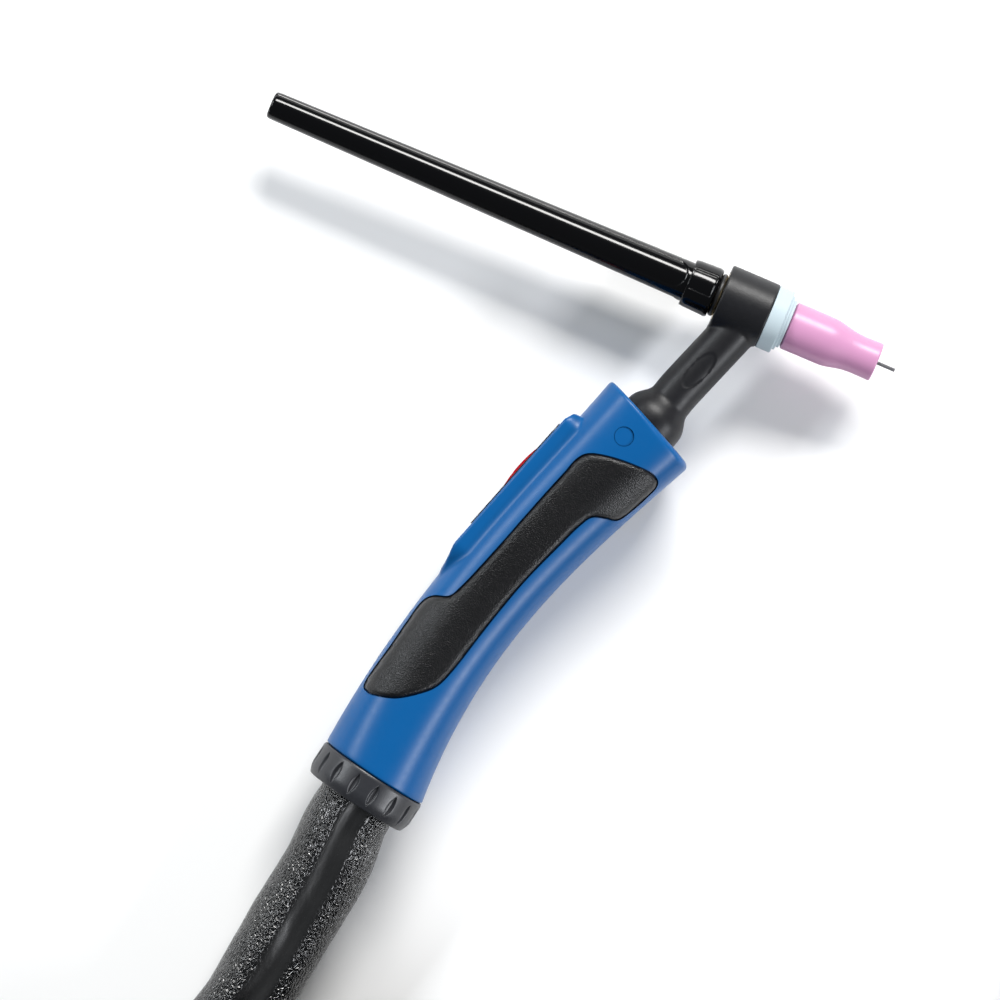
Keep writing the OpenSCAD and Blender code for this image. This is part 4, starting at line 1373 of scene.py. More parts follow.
@dataclass
class RubberHead:
    """Rubber head moulded over its core, with the neck and the flare that enters the handle."""

    radius: float = 9.2
    rear: float = -9.7
    front: float = LAYOUT.head_front
    edge: float = 0.5
    core: float = 7.0
    neck_start: float = 5.2
    neck_end: float = 47.0
    tube: float = 3.2
    crease: float = 0.9
    oval: Pair = (22.5, 0.4)
    oval_half: Pair = (6.4, 2.6)
    oval_depth: float = 0.22
    neck: float = 6.2
    flare: float = 2.97
    flare_start: float = 33.6
    flare_width: float = 3.8
    face: float = LAYOUT.handle_start
    plug: float = 8.0
    sway: Pair = (0.15, 0.35)
    sway_from: float = 29.0
    lean_from: float = 34.0
    settles_over: float = 7.0
    inner: float = 0.4

    def neck_radius(self, s: np.ndarray) -> np.ndarray:
        """Radius of the neck at a distance from the electrode's axis."""
        past = np.maximum(s - self.flare_start, 0) / self.flare_width
        return self.neck + self.flare * (1 - np.exp(-past * past))

    def tilt(self, s: np.ndarray, v: np.ndarray) -> np.ndarray:
        """How far the flare leans along the neck to meet the handle's tilted face."""
        return LAYOUT.face_tilt * v * smooth_step((s - self.lean_from) / self.settles_over)

    def middle(self, s: np.ndarray) -> np.ndarray:
        """How far the neck's middle stands off its axis, toward the nozzle."""
        return self.sway[0] + self.sway[1] * smooth_step((s - self.sway_from) / self.settles_over)

    def on_neck(self, points: np.ndarray) -> tuple[np.ndarray, np.ndarray]:
        """Places along and across the neck of points in the torch frame.

        Args:
            points: The points.

        Returns:
            Their distances along the neck and their distances across it.
        """
        turn = math.radians(-HEAD_ANGLE)
        x, y = points[:, 0], points[:, 1]
        return x * math.cos(turn) + y * math.sin(turn), y * math.cos(turn) - x * math.sin(turn)

    def distance(self, points: np.ndarray) -> np.ndarray:
        """Rough distance from the surface of head and neck, negative inside.

        Args:
            points: Points in the torch frame.

        Returns:
            One distance for each.
        """
        x, y, z = points.T
        middle, half = (self.rear + self.front) / 2, (self.front - self.rear) / 2
        over = np.abs(x - middle) - (half - self.edge)
        beyond = np.hypot(y, z) - (self.radius - self.edge)
        head = np.minimum(np.maximum(over, beyond), 0)
        head = head + np.hypot(np.maximum(over, 0), np.maximum(beyond, 0)) - self.edge
        s, v = self.on_neck(points)
        neck = np.maximum(np.hypot(v - self.middle(s), z) - self.neck_radius(s), 3.0 - s)
        (u_oval, v_oval), (u_half, v_half) = self.oval, self.oval_half
        inside = 1 - np.hypot((s - u_oval) / u_half, (v - v_oval) / v_half)
        neck = neck + self.oval_depth * smooth_step(inside / 0.09)
        return -smooth_max(-head, -neck, self.crease)

    def slope(self, points: np.ndarray) -> np.ndarray:
        """Direction in which the distance grows.

        Args:
            points: Points in the torch frame.

        Returns:
            A direction for each.
        """
        step = 0.02
        parts = []
        for axis in range(3):
            offset = np.zeros(3)
            offset[axis] = step
            parts.append(self.distance(points + offset) - self.distance(points - offset))
        slope = np.stack(parts, axis=1) / (2 * step)
        return slope / np.maximum(np.linalg.norm(slope, axis=1, keepdims=True), 1e-6)

    def build(self) -> None:
        """Makes the head and dresses the core and the neck tube inside it."""
        head = turned(
            [(self.rear, self.radius, self.edge), (self.front, self.radius, self.edge),
             (self.front, self.inner), (self.rear, self.inner)], 160, 0.4,
        )
        stations = np.append(np.arange(self.neck_start, self.face, 0.35), self.face)
        profile = [
            *zip(stations, self.neck_radius(stations)), (self.face, self.plug),
            (self.neck_end, self.plug), (self.neck_end, self.inner), (self.neck_start, self.inner),
        ]
        neck = turned(profile, 132, 0.5)
        ring = np.hypot(neck.points[:, 1], neck.points[:, 2])
        # The plug's own ring stays round the handle's hole.
        outer = (neck.points[:, 0] < self.face + 0.01) & (ring > self.neck - 0.1) & (ring != self.plug)
        neck.points[outer, 1] += self.middle(neck.points[outer, 0])
        neck.points[:, 0] += self.tilt(neck.points[:, 0], neck.points[:, 1])
        to_torch = Matrix.Rotation(math.radians(-HEAD_ANGLE), 4, "Z")
        whole = combined(head, [neck.moved(to_torch)], "UNION")
        points = whole.points
        s, _ = self.on_neck(points)
        near = np.abs(self.distance(points)) < 0.8
        free = near & (s < self.face - 1.0)
        for _ in range(4):
            moved = points[free]
            points[free] = moved - self.distance(moved)[:, None] * self.slope(moved)
        level = Matrix.Rotation(math.pi / 2, 4, "Y")
        bores = [
            prism(disc((0, 0), self.core, 96), self.rear - 1, self.front + 1, level),
            prism(disc((0, 0), self.tube, 48), 5.0, self.neck_end + 3, to_torch @ level),
        ]
        cut = combined(whole, bores)
        mesh = cut.moved(LAYOUT.matrix(Place.TORCH)).mesh("rubber_head", 32.0)
        outside = np.abs(self.distance(cut.points)) < 0.05
        wanted = np.where(outside[:, None], self.slope(cut.points), 0)
        set_corner_normals(mesh, wanted, 0.7)
        WORKSHOP.piece("rubber_head", mesh, "head_rubber", "handle", ["head_cover"])
        WORKSHOP.carry(("head_core", "brass", 0.15), ("neck_tube", "copper", 0.0))


@dataclass
class GasEnd:
    """Electrode, collet, collet body, insulator and ceramic nozzle."""

    nozzle_rear: float = 6.7
    nozzle_length: float = 30.0
    seat: float = 10.3
    shank: float = 5.63
    barrel: float = 6.78
    gas_bore: float = 4.0
    thread_bore: float = 4.7
    flange: float = 4.32
    flange_radius: float = 9.05
    step: float = 8.65

    def build_nozzle(self) -> None:
        """Makes the pink nozzle: a straight shank, a shoulder, a waist and a slightly wider tip."""
        rear, tip = self.nozzle_rear, self.nozzle_rear + self.nozzle_length
        profile = [
            (rear, self.shank, 0.3), (self.seat, self.shank), (self.seat + 0.5, self.barrel, 0.35),
            (tip - 13.6, self.barrel, 1.6), (tip - 9.4, 5.75, 1.8), (tip - 6.6, 5.32, 2.2),
            (tip, 5.47, 0.55), (tip - 0.02, self.gas_bore, 0.3), (rear + 9.3, self.gas_bore, 0.3),
            (rear + 9.0, self.thread_bore), (rear, self.thread_bore, 0.2),
        ]
        mesh = turned(profile, 128, 1.0).moved(LAYOUT.matrix(Place.TORCH)).mesh("ceramic_nozzle", 40.0)
        WORKSHOP.piece("ceramic_nozzle", mesh, "pink_ceramic", "nozzle", ["nozzle"])

    def build_insulator(self) -> None:
        """Makes the white insulator: a flange against the head and a narrower step round the nozzle."""
        step = self.step
        profile = [
            (self.flange, self.flange_radius, 0.25), (step, self.flange_radius, 0.4), (step, 7.85, 0.15),
            (step + 0.75, 7.8, 0.25), (step + 0.8, 6.84, 0.1), (self.seat, 6.84, 0.25),
            (self.seat, 5.7, 0.2), (self.nozzle_rear, 5.7), (self.nozzle_rear, self.thread_bore),
            (self.flange, self.thread_bore),
        ]
        mesh = turned(profile, 128, 1.0).moved(LAYOUT.matrix(Place.TORCH)).mesh("nozzle_insulator", 40.0)
        WORKSHOP.piece("nozzle_insulator", mesh, "white_ptfe", "insulator", ["cup_insulator"])

    def build(self) -> None:
        """Makes the nozzle and the insulator, and dresses what they hold."""
        self.build_nozzle()
        self.build_insulator()
        WORKSHOP.carry(
            ("electrode", "tungsten", 0.06), ("collet", "copper", 0.0), ("collet_body", "copper", 0.1)
        )


@dataclass
class LongCap:
    """Long back cap with three sunk panels along its taper and a threaded stub."""

    front: float = -11.4
    length: float = 132.2
    collar: float = 8.2
    radius: float = 5.6
    end_radius: float = 3.97
    panel_at: float = 79.0
    panel_width: float = 92.5
    panel_depth: float = 0.27
    panel_edge: float = 0.35
    panel_round: float = 3.6
    stub_end: float = -2.7
    stub: float = 4.45
    pitch: float = 1.25
    thread_depth: float = 0.28
    flat_depth: float = 0.3
    bore: float = 1.7

    def relief(self, x: np.ndarray, turn: np.ndarray, radius: np.ndarray) -> np.ndarray:
        """Sinks the panels and the collar's flats, and cuts a thread on the stub.

        Args:
            x: Place along the cap.
            turn: Angle round it.
            radius: Radius without relief.

        Returns:
            The radius with relief.
        """
        rear, body = self.front - self.length, self.front - self.collar
        share = np.clip((x - rear) / (body - rear), 0, 1)
        base = self.end_radius + (self.radius - self.end_radius) * share
        third = 2 * math.pi / 3
        off_middle = np.abs(np.mod(turn - math.radians(self.panel_at) + third / 2, third) - third / 2)
        half = base * math.radians(self.panel_width / 2)
        end = body - 0.8
        past = np.maximum(x - (end - self.panel_round), 0) * half / self.panel_round
        inside = smooth_step((half - np.hypot(past, base * off_middle)) / self.panel_edge)
        panelled = radius - self.panel_depth * (0.6 + 0.4 * share) * inside
        on_flat = smooth_step((0.5 - off_middle) / 0.08) * smooth_step((self.front - 0.8 - x) / 0.5)
        thread = self.thread_depth * (0.5 + 0.5 * np.cos(2 * math.pi * x / self.pitch - turn))
        on_stub = (x > self.front + 2.2) & (x < self.stub_end - 0.4) & (radius > self.stub - 0.1)
        on_body = (x < end) & (radius > self.bore + 1)
        on_collar = (x > body + 0.4) & (x < self.front - 0.1) & (radius > 6)
        forms = [radius - thread, panelled, radius - self.flat_depth * on_flat]
        return np.select([on_stub, on_body, on_collar], forms, radius)

    def build(self) -> None:
        """Makes the cap and dresses its seal."""
        rear, body = self.front - self.length, self.front - self.collar
        taper = (self.radius - self.end_radius) / (body - rear)
        thin = np.linspace(body - 6, body - 0.2, 24)
        stub = np.arange(self.front + 2.0, self.stub_end - 0.3, 0.16)
        profile = [
            (rear, 1.75, 0.2), (rear, self.end_radius - 0.1, 0.9), (rear + 1.6, self.end_radius + 0.02),
            *[(x, self.end_radius + taper * (x - rear)) for x in thin],
            (body, self.radius), (body + 0.05, 6.55, 0.3), (body + 1.1, 6.82, 0.4),
            (self.front - 1.0, 7.08, 0.3), (self.front, 6.75, 0.35), (self.front, self.stub),
            *[(x, self.stub) for x in stub],
            (self.stub_end, self.stub - 0.4), (self.stub_end, self.bore), (rear + 2, self.bore),
            (rear + 1.9, 0.02), (rear + 0.9, 0.02), (rear + 0.5, 1.4),
        ]
        shape = turned(profile, 288, 3.0, self.relief)
        mesh = shape.moved(LAYOUT.matrix(Place.TORCH)).mesh("long_cap", 50.0)
        WORKSHOP.piece("long_cap", mesh, "cap_plastic", "back_cap", ["back_cap"])
        WORKSHOP.carry(("back_cap_seal", "seal_rubber", 0.0))


# ------------------------------------------------------------------------------------------ handle


@dataclass
class Handle:
    """Two moulded shells with the raised switch housing, their grip pads, inlays and screws.

    Sections of the handle stand across its curved spine. In a section, Y points away from the trigger.
    """

    front_height: float = 31.7
    lean: float = 0.15
    waist_height: float = 27.2
    front_width: float = 28.4
    waist_width: float = 26.8
    tail: float = 31.2
    belly: float = 3.75
    waist_at: float = 0.55
    belly_at: float = 0.6
    squareness: float = 0.7
    wall: float = 2.6
    front_wall: float = 4.8
    front_edge: Pair = (1.0, 2.0)
    rear_edge: float = 0.5
    seam: Pair = (0.3, 0.16)
    tilt_fades_over: float = 12.0
    hole: float = 8.15
    thread: float = 13.55
    thread_pitch: float = 2.0
    thread_depth: float = 0.5
    thread_end: float = 5.0
    throat: float = 12.15
    throat_depth: float = 6.0
    columns: int = 101
    housing_half: float = 9.4
    housing_fillet: float = 1.5
    housing_edge: float = 1.3
    housing_tapers: tuple[tuple[float, ...], ...] = ((-20.8, -4.6, 0.30, 2.2), (23.0, 11.0, 0.55, 1.4))
    housing_top: tuple[Pair, ...] = (
        (-25.6, -7.0), (-24.9, -1.6), (-24.4, -0.9), (-21.8, 0.0), (23.5, 0.0), (31.5, -2.4),
        (34.0, -5.0),
    )
    pad_depth: float = 1.0
    pad_proud: float = 0.5
    pad_gap: float = 0.28
    pad_from: float = 52.0
    pad_points: tuple[Pair, ...] = (
        (6.3, -4.2), (3.5, 0.7), (1.1, 6.5), (0, 10.6), (1.2, 13.3), (5.6, 13.5), (11, 13.0),
        (15.4, 12.0), (17.4, 9.2), (19.8, 6.2), (24, 5.3), (31.3, 5.0), (44.1, 4.7), (54.8, 5.2),
        (63.5, 5.9), (75.2, 7.0), (82, 6.8), (86.8, 4.6), (91.8, 1.0), (95, -3.2), (96.2, -6), (94.4, -8),
        (82.3, -9.7), (74.6, -10.9), (68.4, -11.6), (65, -10.5), (62, -7.3), (58.2, -6.6), (50.6, -6.5),
        (40, -6.7), (32.8, -6.95), (23.2, -7.2), (15.8, -7.3), (11.6, -7.45), (8.6, -6.6),
    )
    pad_crown: Pair = (1.1, 0.75)
    pad_clearance: float = 0.03
    slot: tuple[Pair, Pair] = ((-20.05, -6.65), (16.65, 6.65))
    slot_corner: float = 3.05
    slot_depth: float = 8.5
    badge: Pair = (49.8, -2.29)
    badge_hole: float = 2.72
    badge_seat: float = 1.2
    screws: tuple[Pair, ...] = ((0.127, 9.01), (0.72, -11.62))
    screw_hole: float = 2.5
    screw_seat: float = 2.6
    clear: float = 22.0

    def half_size(self, share: np.ndarray, front: float, waist: float) -> np.ndarray:
        """Half the height or width of the section along the handle.

        Args:
            share: Share of the handle's length.
            front: Size at the front.
            waist: Size at the waist.

        Returns:
            Half the size.
        """
        ahead = np.clip(1 - share / self.waist_at, 0, 1)
        behind = np.clip((share - self.waist_at) / (1 - self.waist_at), 0, 1)
        return (waist + (front - waist) * ahead**2 + (self.tail - waist) * behind**2) / 2

    def sizes(self, share: np.ndarray) -> tuple[np.ndarray, np.ndarray, np.ndarray, np.ndarray]:
        """Half height, half width, middle and power of the section along the handle.

        Args:
            share: Share of the handle's length.

        Returns:
            Four arrays like the shares.
        """
        ahead = np.sin(np.pi / 2 * np.clip(share / self.belly_at, 0, 1)) ** 1.6
        behind = 1 - np.clip((share - self.belly_at) / (1 - self.belly_at), 0, 1) ** 2
        belly = self.belly * np.where(share < self.belly_at, ahead, behind)
        middle = self.lean * np.clip(1 - share, 0, 1) - belly
        power = 2 + self.squareness * (1 - np.clip(share, 0, 1) ** 2)
        height = self.half_size(share, self.front_height, self.waist_height)
        width = self.half_size(share, self.front_width, self.waist_width)
        return height, width, middle, power

    def oval(self, share: np.ndarray, turn: np.ndarray, inset: np.ndarray | float) -> np.ndarray:
        """Distance from the section's middle to its outline, without the housing.

        Args:
            share: Share of the handle's length.
            turn: Angle in the section.
            inset: Depth under the surface.

        Returns:
            The distance.
        """
        height, width, _, power = self.sizes(share)
        across = np.abs(np.cos(turn)) / (height - inset)
        out = np.abs(np.sin(turn)) / (width - inset)
        return (across**power + out**power) ** (-1 / power)

    def side_height(self, u: np.ndarray, v: np.ndarray, inset: np.ndarray | float) -> np.ndarray:
        """Height of the handle's side over a point of the neck's plane.

        Args:
            u: Place along the neck.
            v: Place across it.
            inset: Depth under the surface.

        Returns:
            The height.
        """
        radius = LAYOUT.spine_radius
        along, down = u - LAYOUT.handle_start, LAYOUT.spine_lift + radius - v
        share = np.degrees(np.arctan2(along, down)) / LAYOUT.handle_bend
        y = radius - np.hypot(along, down)
        height, width, middle, power = self.sizes(share)
        across = np.clip(np.abs(y - middle) / (height - inset), 0, 0.999)
        return (width - inset) * (1 - across**power) ** (1 / power)

    def housing(self, share: np.ndarray, turn: np.ndarray, middle: np.ndarray) -> np.ndarray:
        """Distance from the section's middle to the housing's outline.

        Args:
            share: Share of the handle's length, one for each row.
            turn: Angle in the section.
            middle: The section's middle.

        Returns:
            The distance, which is 0 where there is no housing.
        """
        tilt = math.radians(LAYOUT.housing_tilt)
        tops, halves = [], []
        line = np.array(self.housing_top)
        reach = np.linspace(0, 26, 521)
        for part, centre in zip(share, middle):
            bend = math.radians(LAYOUT.handle_bend * part)
            spine = LAYOUT.spine(part)
            u = spine[0] - (centre - reach) * math.sin(bend) - LAYOUT.housing_at
            v = -(spine[1] + (centre - reach) * math.cos(bend) + LAYOUT.housing_out)
            x = u * math.cos(tilt) - v * math.sin(tilt)
            y = u * math.sin(tilt) + v * math.cos(tilt)
            below = y < np.interp(x, line[:, 0], line[:, 1], left=-30, right=-30)
            top = reach[below][-1] if below.any() else 0.0
            place = float(np.interp(top, reach, x))
            half = self.housing_half
            for start, run, lost, bend_power in self.housing_tapers:
                half *= 1 - lost * np.clip((place - start) / run, 0, 1) ** bend_power
            tops.append(top)
            halves.append(half)
        tops, halves = np.array(tops)[:, None], np.array(halves)[:, None]
        down = np.maximum(-np.cos(turn), 1e-3)
        side = np.maximum(np.sin(turn), 1e-3)
        radius = -smooth_max(-tops / down, -halves / side, self.housing_edge)
        return np.where(np.cos(turn) < 0, np.maximum(radius, 0), 0)

    def outer_rows(self) -> np.ndarray:
        """The shell's outer rows, from the front face to the rear one.

        Returns:
            Array of rows, points and coordinates.
        """
        length = LAYOUT.handle_length
        edge = [0, 0.06, 0.15, 0.3, 0.5, 0.75, 1.05, 1.4, 1.9, 2.5, 3.2, 4.0]
        stretches = ((4.8, 10.4, 0.8), (10.4, 17.0, 0.22), (17.0, 60, 0.8), (60, length - 0.9, 0.9))
        steps = [np.arange(*stretch) for stretch in stretches]
        places = np.concatenate([edge, *steps, [length - 0.5, length - 0.25, length - 0.08, length]])
        share = places / length
        turn = np.linspace(0, math.pi, 1441)[None, :]
        _, _, middle, _ = self.sizes(share)
        small, large = self.front_edge
        corner = small + (large - small) * smooth_step(0.5 + 0.9 * np.cos(turn))
        front = np.clip(corner - places[:, None], 0, None)
        inset = corner - np.sqrt(np.maximum(corner**2 - front**2, 0))
        back = np.clip(self.rear_edge - (length - places[:, None]), 0, None)
        inset = inset + self.rear_edge - np.sqrt(np.maximum(self.rear_edge**2 - back**2, 0))
        radius = self.oval(share[:, None], turn, inset)
        radius = smooth_max(radius, self.housing(share, turn, middle), self.housing_fillet)
        z = radius * np.sin(turn)
        groove = self.seam[1] * np.clip(1 - z / self.seam[0], 0, 1)
        y = middle[:, None] + radius * np.cos(turn) - np.sign(np.cos(turn)) * groove
        rows = []
        for k, place in enumerate(places):
            run = np.concatenate([[0], np.cumsum(np.hypot(np.diff(y[k]), np.diff(z[k])))])
            marks = np.linspace(0, run[-1], self.columns)
            section = np.column_stack([np.interp(marks, run, y[k]), np.interp(marks, run, z[k])])
            rows.append(self.stand(place / length, section, max(0.0, 1 - place / self.tilt_fades_over)))
        return np.array(rows)

    def stand(self, share: float, section: np.ndarray, tilt: float = 0.0) -> np.ndarray:
        """Stands a flat section on the spine.

        Args:
            share: Share of the handle's length.
            section: Points of the section, as Y and Z.
            tilt: How much of the front face's tilt it takes.

        Returns:
            Points in the neck frame.
        """
        bend = math.radians(LAYOUT.handle_bend * share)
        spine = LAYOUT.spine(share)
        u = spine[0] - section[:, 0] * math.sin(bend) + tilt * LAYOUT.face_tilt * section[:, 0]
        return np.column_stack([u, spine[1] + section[:, 0] * math.cos(bend), section[:, 1]])

    def half_circle(self, share: float, x: float, radius: float, tilt: float = 0.0) -> np.ndarray:
        """Half ring about the neck's or the tail's axis.

        Args:
            share: 0 for the front of the handle, 1 for its rear end.
            x: Distance from that end.
            radius: The ring's radius.
            tilt: How much of the front face's tilt it takes.

        Returns:
            Points in the neck frame.
        """
        turn = np.linspace(0, math.pi, self.columns)
        ring = np.column_stack([radius * np.cos(turn), radius * np.sin(turn)])
        if share == 0:
            return np.column_stack([LAYOUT.handle_start + x + tilt * LAYOUT.face_tilt * ring[:, 0], ring])
        bend = math.radians(LAYOUT.handle_bend)
        spine = LAYOUT.spine(1.0)
        u = spine[0] + x * math.cos(bend) - ring[:, 0] * math.sin(bend)
        v = spine[1] + x * math.sin(bend) + ring[:, 0] * math.cos(bend)
        return np.column_stack([u, v, ring[:, 1]])

    def shell(self) -> Shape:
        """One closed half shell on the +Z side, without its cut-outs.

        Returns:
            The shell's surface in the neck frame.
        """
        turn = np.linspace(0, math.pi, self.columns)
        threads = np.arange(0.3, self.thread_end, self.thread_pitch / 8)
        wave = 0.5 - 0.5 * np.cos(2 * math.pi * threads / self.thread_pitch)
        ridge = self.thread - self.thread_depth * wave
        inner = []
        for share in np.linspace(0.95, self.front_wall / LAYOUT.handle_length, 40):
            middle = float(self.sizes(np.array(share))[2])
            radius = self.oval(np.array(share), turn, self.wall)
            section = np.column_stack([middle + radius * np.cos(turn), radius * np.sin(turn)])
            inner.append(self.stand(share, section))
        rings = np.array([
            self.half_circle(0, 0, self.hole, 1.0),
            *self.outer_rows(),
            self.half_circle(1, 0, self.thread),
            *[self.half_circle(1, x, r) for x, r in zip(threads, ridge)],
            self.half_circle(1, self.thread_end, self.thread - self.thread_depth),
            self.half_circle(1, self.thread_end, self.throat),
            self.half_circle(1, -self.throat_depth, self.throat),
            *inner,
            self.half_circle(0, self.front_wall, self.hole),
        ])
        count, width = rings.shape[:2]
        faces = grid(rings, False, True)
        faces.append(tuple(i * width for i in range(count)))
        faces.append(tuple(i * width + width - 1 for i in range(count))[::-1])
        return Shape(rings.reshape(-1, 3), faces)

    def pad_outline(self, gap: float) -> np.ndarray:
        """The pad's outline in the neck's plane, grown by a gap.

        Args:
            gap: How far it is grown.

        Returns:
            The outline's points.
        """
        line = smooth_through(np.array(self.pad_points), True, 8)
        line = line + np.array([self.pad_from, 0.0])
        way = np.roll(line, -1, axis=0) - np.roll(line, 1, axis=0)
        way /= np.linalg.norm(way, axis=1, keepdims=True)
        return line + gap * np.column_stack([-way[:, 1], way[:, 0]])

    def filled(self, outline: np.ndarray, spacing: float) -> tuple[np.ndarray, list[tuple[int, ...]]]:
        """Triangles over an outline.

        Args:
            outline: The outline.
            spacing: Distance between the points inside it.

        Returns:
            The points, with the outline's own first, and the triangles.
        """
        low, high = outline.min(axis=0), outline.max(axis=0)
        xs, ys = np.arange(low[0], high[0], spacing), np.arange(low[1], high[1], spacing)
        inside = np.array([(x + (k % 2) * spacing / 2, y) for k, y in enumerate(ys) for x in xs])
        clear = self.from_edge(inside, outline) > 0.45 * spacing
        points = [Vector(p) for p in np.concatenate([outline, inside[clear]])]
        edges = [(k, (k + 1) % len(outline)) for k in range(len(outline))]
        found, _, faces, _, _, _ = delaunay_2d_cdt(points, edges, [], 1, 1e-6)
        return np.array([tuple(p) for p in found]), [tuple(f) for f in faces]

    def from_edge(self, points: np.ndarray, outline: np.ndarray) -> np.ndarray:
        """Distance of points from an outline, negative outside it.

        Args:
            points: The points.
            outline: The closed outline.

        Returns:
            One distance for each point.
        """
        ends = np.roll(outline, -1, axis=0)
        side = ends - outline
        least = np.full(len(points), 1e9)
        crossings = np.zeros(len(points), int)
        for start, step, end in zip(outline, side, ends):
            share = np.clip(((points - start) @ step) / (step @ step), 0, 1)
            least = np.minimum(least, np.linalg.norm(points - start - share[:, None] * step, axis=1))
            between = (start[1] > points[:, 1]) != (end[1] > points[:, 1])
            with np.errstate(divide="ignore", invalid="ignore"):
                at = start[0] + (points[:, 1] - start[1]) / (end[1] - start[1]) * step[0]
            crossings += between & (points[:, 0] < at)
        return np.where(crossings % 2 == 1, least, -least)

    def slab(self, outline: np.ndarray, spacing: float, top: Heights, bottom: Heights) -> Shape:
        """A slab over an outline, with its own upper and lower surface.

        Args:
            outline: The outline in the neck's plane.
            spacing: Distance between the points inside it.
            top: Function of the points that gives the upper heights.
            bottom: The same for the lower heights.

        Returns:
            The closed slab.
        """
        flat, faces = self.filled(outline, spacing)
        count = len(flat)
        upper = np.column_stack([flat, top(flat)])
        lower = np.column_stack([flat, bottom(flat)])
        edges: dict[tuple[int, int], int] = {}
        for face in faces:
            for a, b in zip(face, (*face[1:], face[0])):
                edges[(a, b)] = edges.get((a, b), 0) + 1
        walls = [(b, a, a + count, b + count) for a, b in edges if (b, a) not in edges]
        below = [tuple(k + count for k in face)[::-1] for face in faces]
        return Shape(np.concatenate([upper, lower]), [*faces, *below, *walls])

    def pad(self) -> Shape:
        """A grip pad: crowned edge, and an underside that lies in its recess.

        Returns:
            The pad's surface on the +Z side.
        """
        outline = self.pad_outline(0.0)
        edge, crown = self.pad_crown

        def top(flat: np.ndarray) -> np.ndarray:
            """Heights of the pad's outer side.

            Args:
                flat: Points in the neck's plane.

            Returns:
                Their heights.
            """
            near = np.clip(1 - np.maximum(self.from_edge(flat, outline), 0) / edge, 0, 1)
            drop = (1 - np.sqrt(1 - near**2)) * crown
            return self.side_height(flat[:, 0], flat[:, 1], drop - self.pad_proud)

        def bottom(flat: np.ndarray) -> np.ndarray:
            """Heights of its underside."""
            return self.side_height(flat[:, 0], flat[:, 1], self.pad_depth - self.pad_clearance)

        return self.slab(outline, 0.75, top, bottom)

    def recess(self) -> Shape:
        """Cutter of a pad's recess.

        Returns:
            The cutter on the +Z side.
        """

        def top(flat: np.ndarray) -> np.ndarray:
            """Heights clear of the handle."""
            return np.full(len(flat), self.clear)

        def bottom(flat: np.ndarray) -> np.ndarray:
            """Heights of the recess's floor."""
            return self.side_height(flat[:, 0], flat[:, 1], self.pad_depth)

        return self.slab(self.pad_outline(self.pad_gap), 1.5, top, bottom)

    def fittings(self, screwed: bool) -> list[Shape]:
        """Cutters of the recesses for switch, inlay and screws, for the shell on the +Z side.

        Args:
            screwed: Whether the shell has the screws' holes.

        Returns:
            The cutters in the neck frame.
        """
        to_neck = LAYOUT.matrix(Place.NECK).inverted() @ LAYOUT.matrix(Place.HOUSING)
        upright = to_neck @ Matrix.Rotation(math.pi / 2, 4, "X")
        slot = slot_outline(*self.slot, self.slot_corner)
        cutters = [prism(slot, -3.0, self.slot_depth, upright)]
        level = float(self.side_height(*np.array(self.badge), 0.0)) - self.badge_seat
        cutters.append(prism(disc(self.badge, self.badge_hole), level, 20.0, Matrix.Identity(4)))
        for share, y in self.screws if screwed else ():
            u, v, _ = self.stand(share, np.array([[y, 0.0]]))[0]
            seat = float(self.side_height(u, v, self.wall)) - self.screw_seat
            cutters.append(prism(disc((u, v), self.screw_hole), seat, self.clear, Matrix.Identity(4)))
        return cutters

    def build_shell(self, name: str, blank: Shape, mirror: Matrix, screwed: bool) -> None:
        """Makes one shell.

        Args:
            name: The node's name, which ends in its side.
            blank: The shell on the +Z side without its cut-outs.
            mirror: Matrix that mirrors it to its own side.
            screwed: Whether it has the screws' holes.
        """
        cut = combined(blank, [self.recess(), *self.fittings(screwed)])
        place = LAYOUT.matrix(Place.NECK) @ mirror
        mesh = cut.moved(place).mesh(name, 38.0)
        whole = blank.moved(place).mesh("whole", 38.0)
        shade_like(mesh, whole)
        bpy.data.meshes.remove(whole)
        WORKSHOP.piece(f"{name}_shell", mesh, "blue_plastic", "handle", [name])

    def build(self) -> None:
        """Makes shells and pads, and dresses inlays and screws."""
        blank, pad = self.shell(), self.pad()
        sides = {"left": Matrix.Identity(4), "right": Matrix.Scale(-1, 4, (0, 0, 1))}
        for side, mirror in sides.items():
            self.build_shell(f"handle_{side}", blank, mirror, side == "right")
            mesh = pad.moved(LAYOUT.matrix(Place.NECK) @ mirror).mesh(f"grip_{side}", 50.0)
            WORKSHOP.piece(f"grip_{side}", mesh, "grip_rubber", "handle", [f"grip_pad_{side}"])
        WORKSHOP.carry(
            ("handle_badges", "blue_plastic", 0.12), ("handle_screws", "steel", 0.08),
            ("cable_coupling", "brass", 0.0), ("power_cable_end", "cable_rubber", 0.0),
            ("control_cable_end", "cable_rubber", 0.0),
        )


@dataclass
class Switch:
    """Rocking button in its frame, with pin, spring, plunger and leads."""

    nodes: tuple[Carried, ...] = (
        ("switch_frame", "black_plastic", 0.12), ("trigger_button", "red_plastic", 0.2),
        ("trigger_pin", "steel", 0.06), ("switch_spring", "steel", 0.0),
        ("switch_body", "black_plastic", 0.1), ("switch_plunger", "ivory_plastic", 0.1),
        ("switch_leads", "wire_red", 0.0),
    )

    def build(self) -> None:
        """Dresses the switch's nodes."""
        WORKSHOP.carry(*self.nodes)


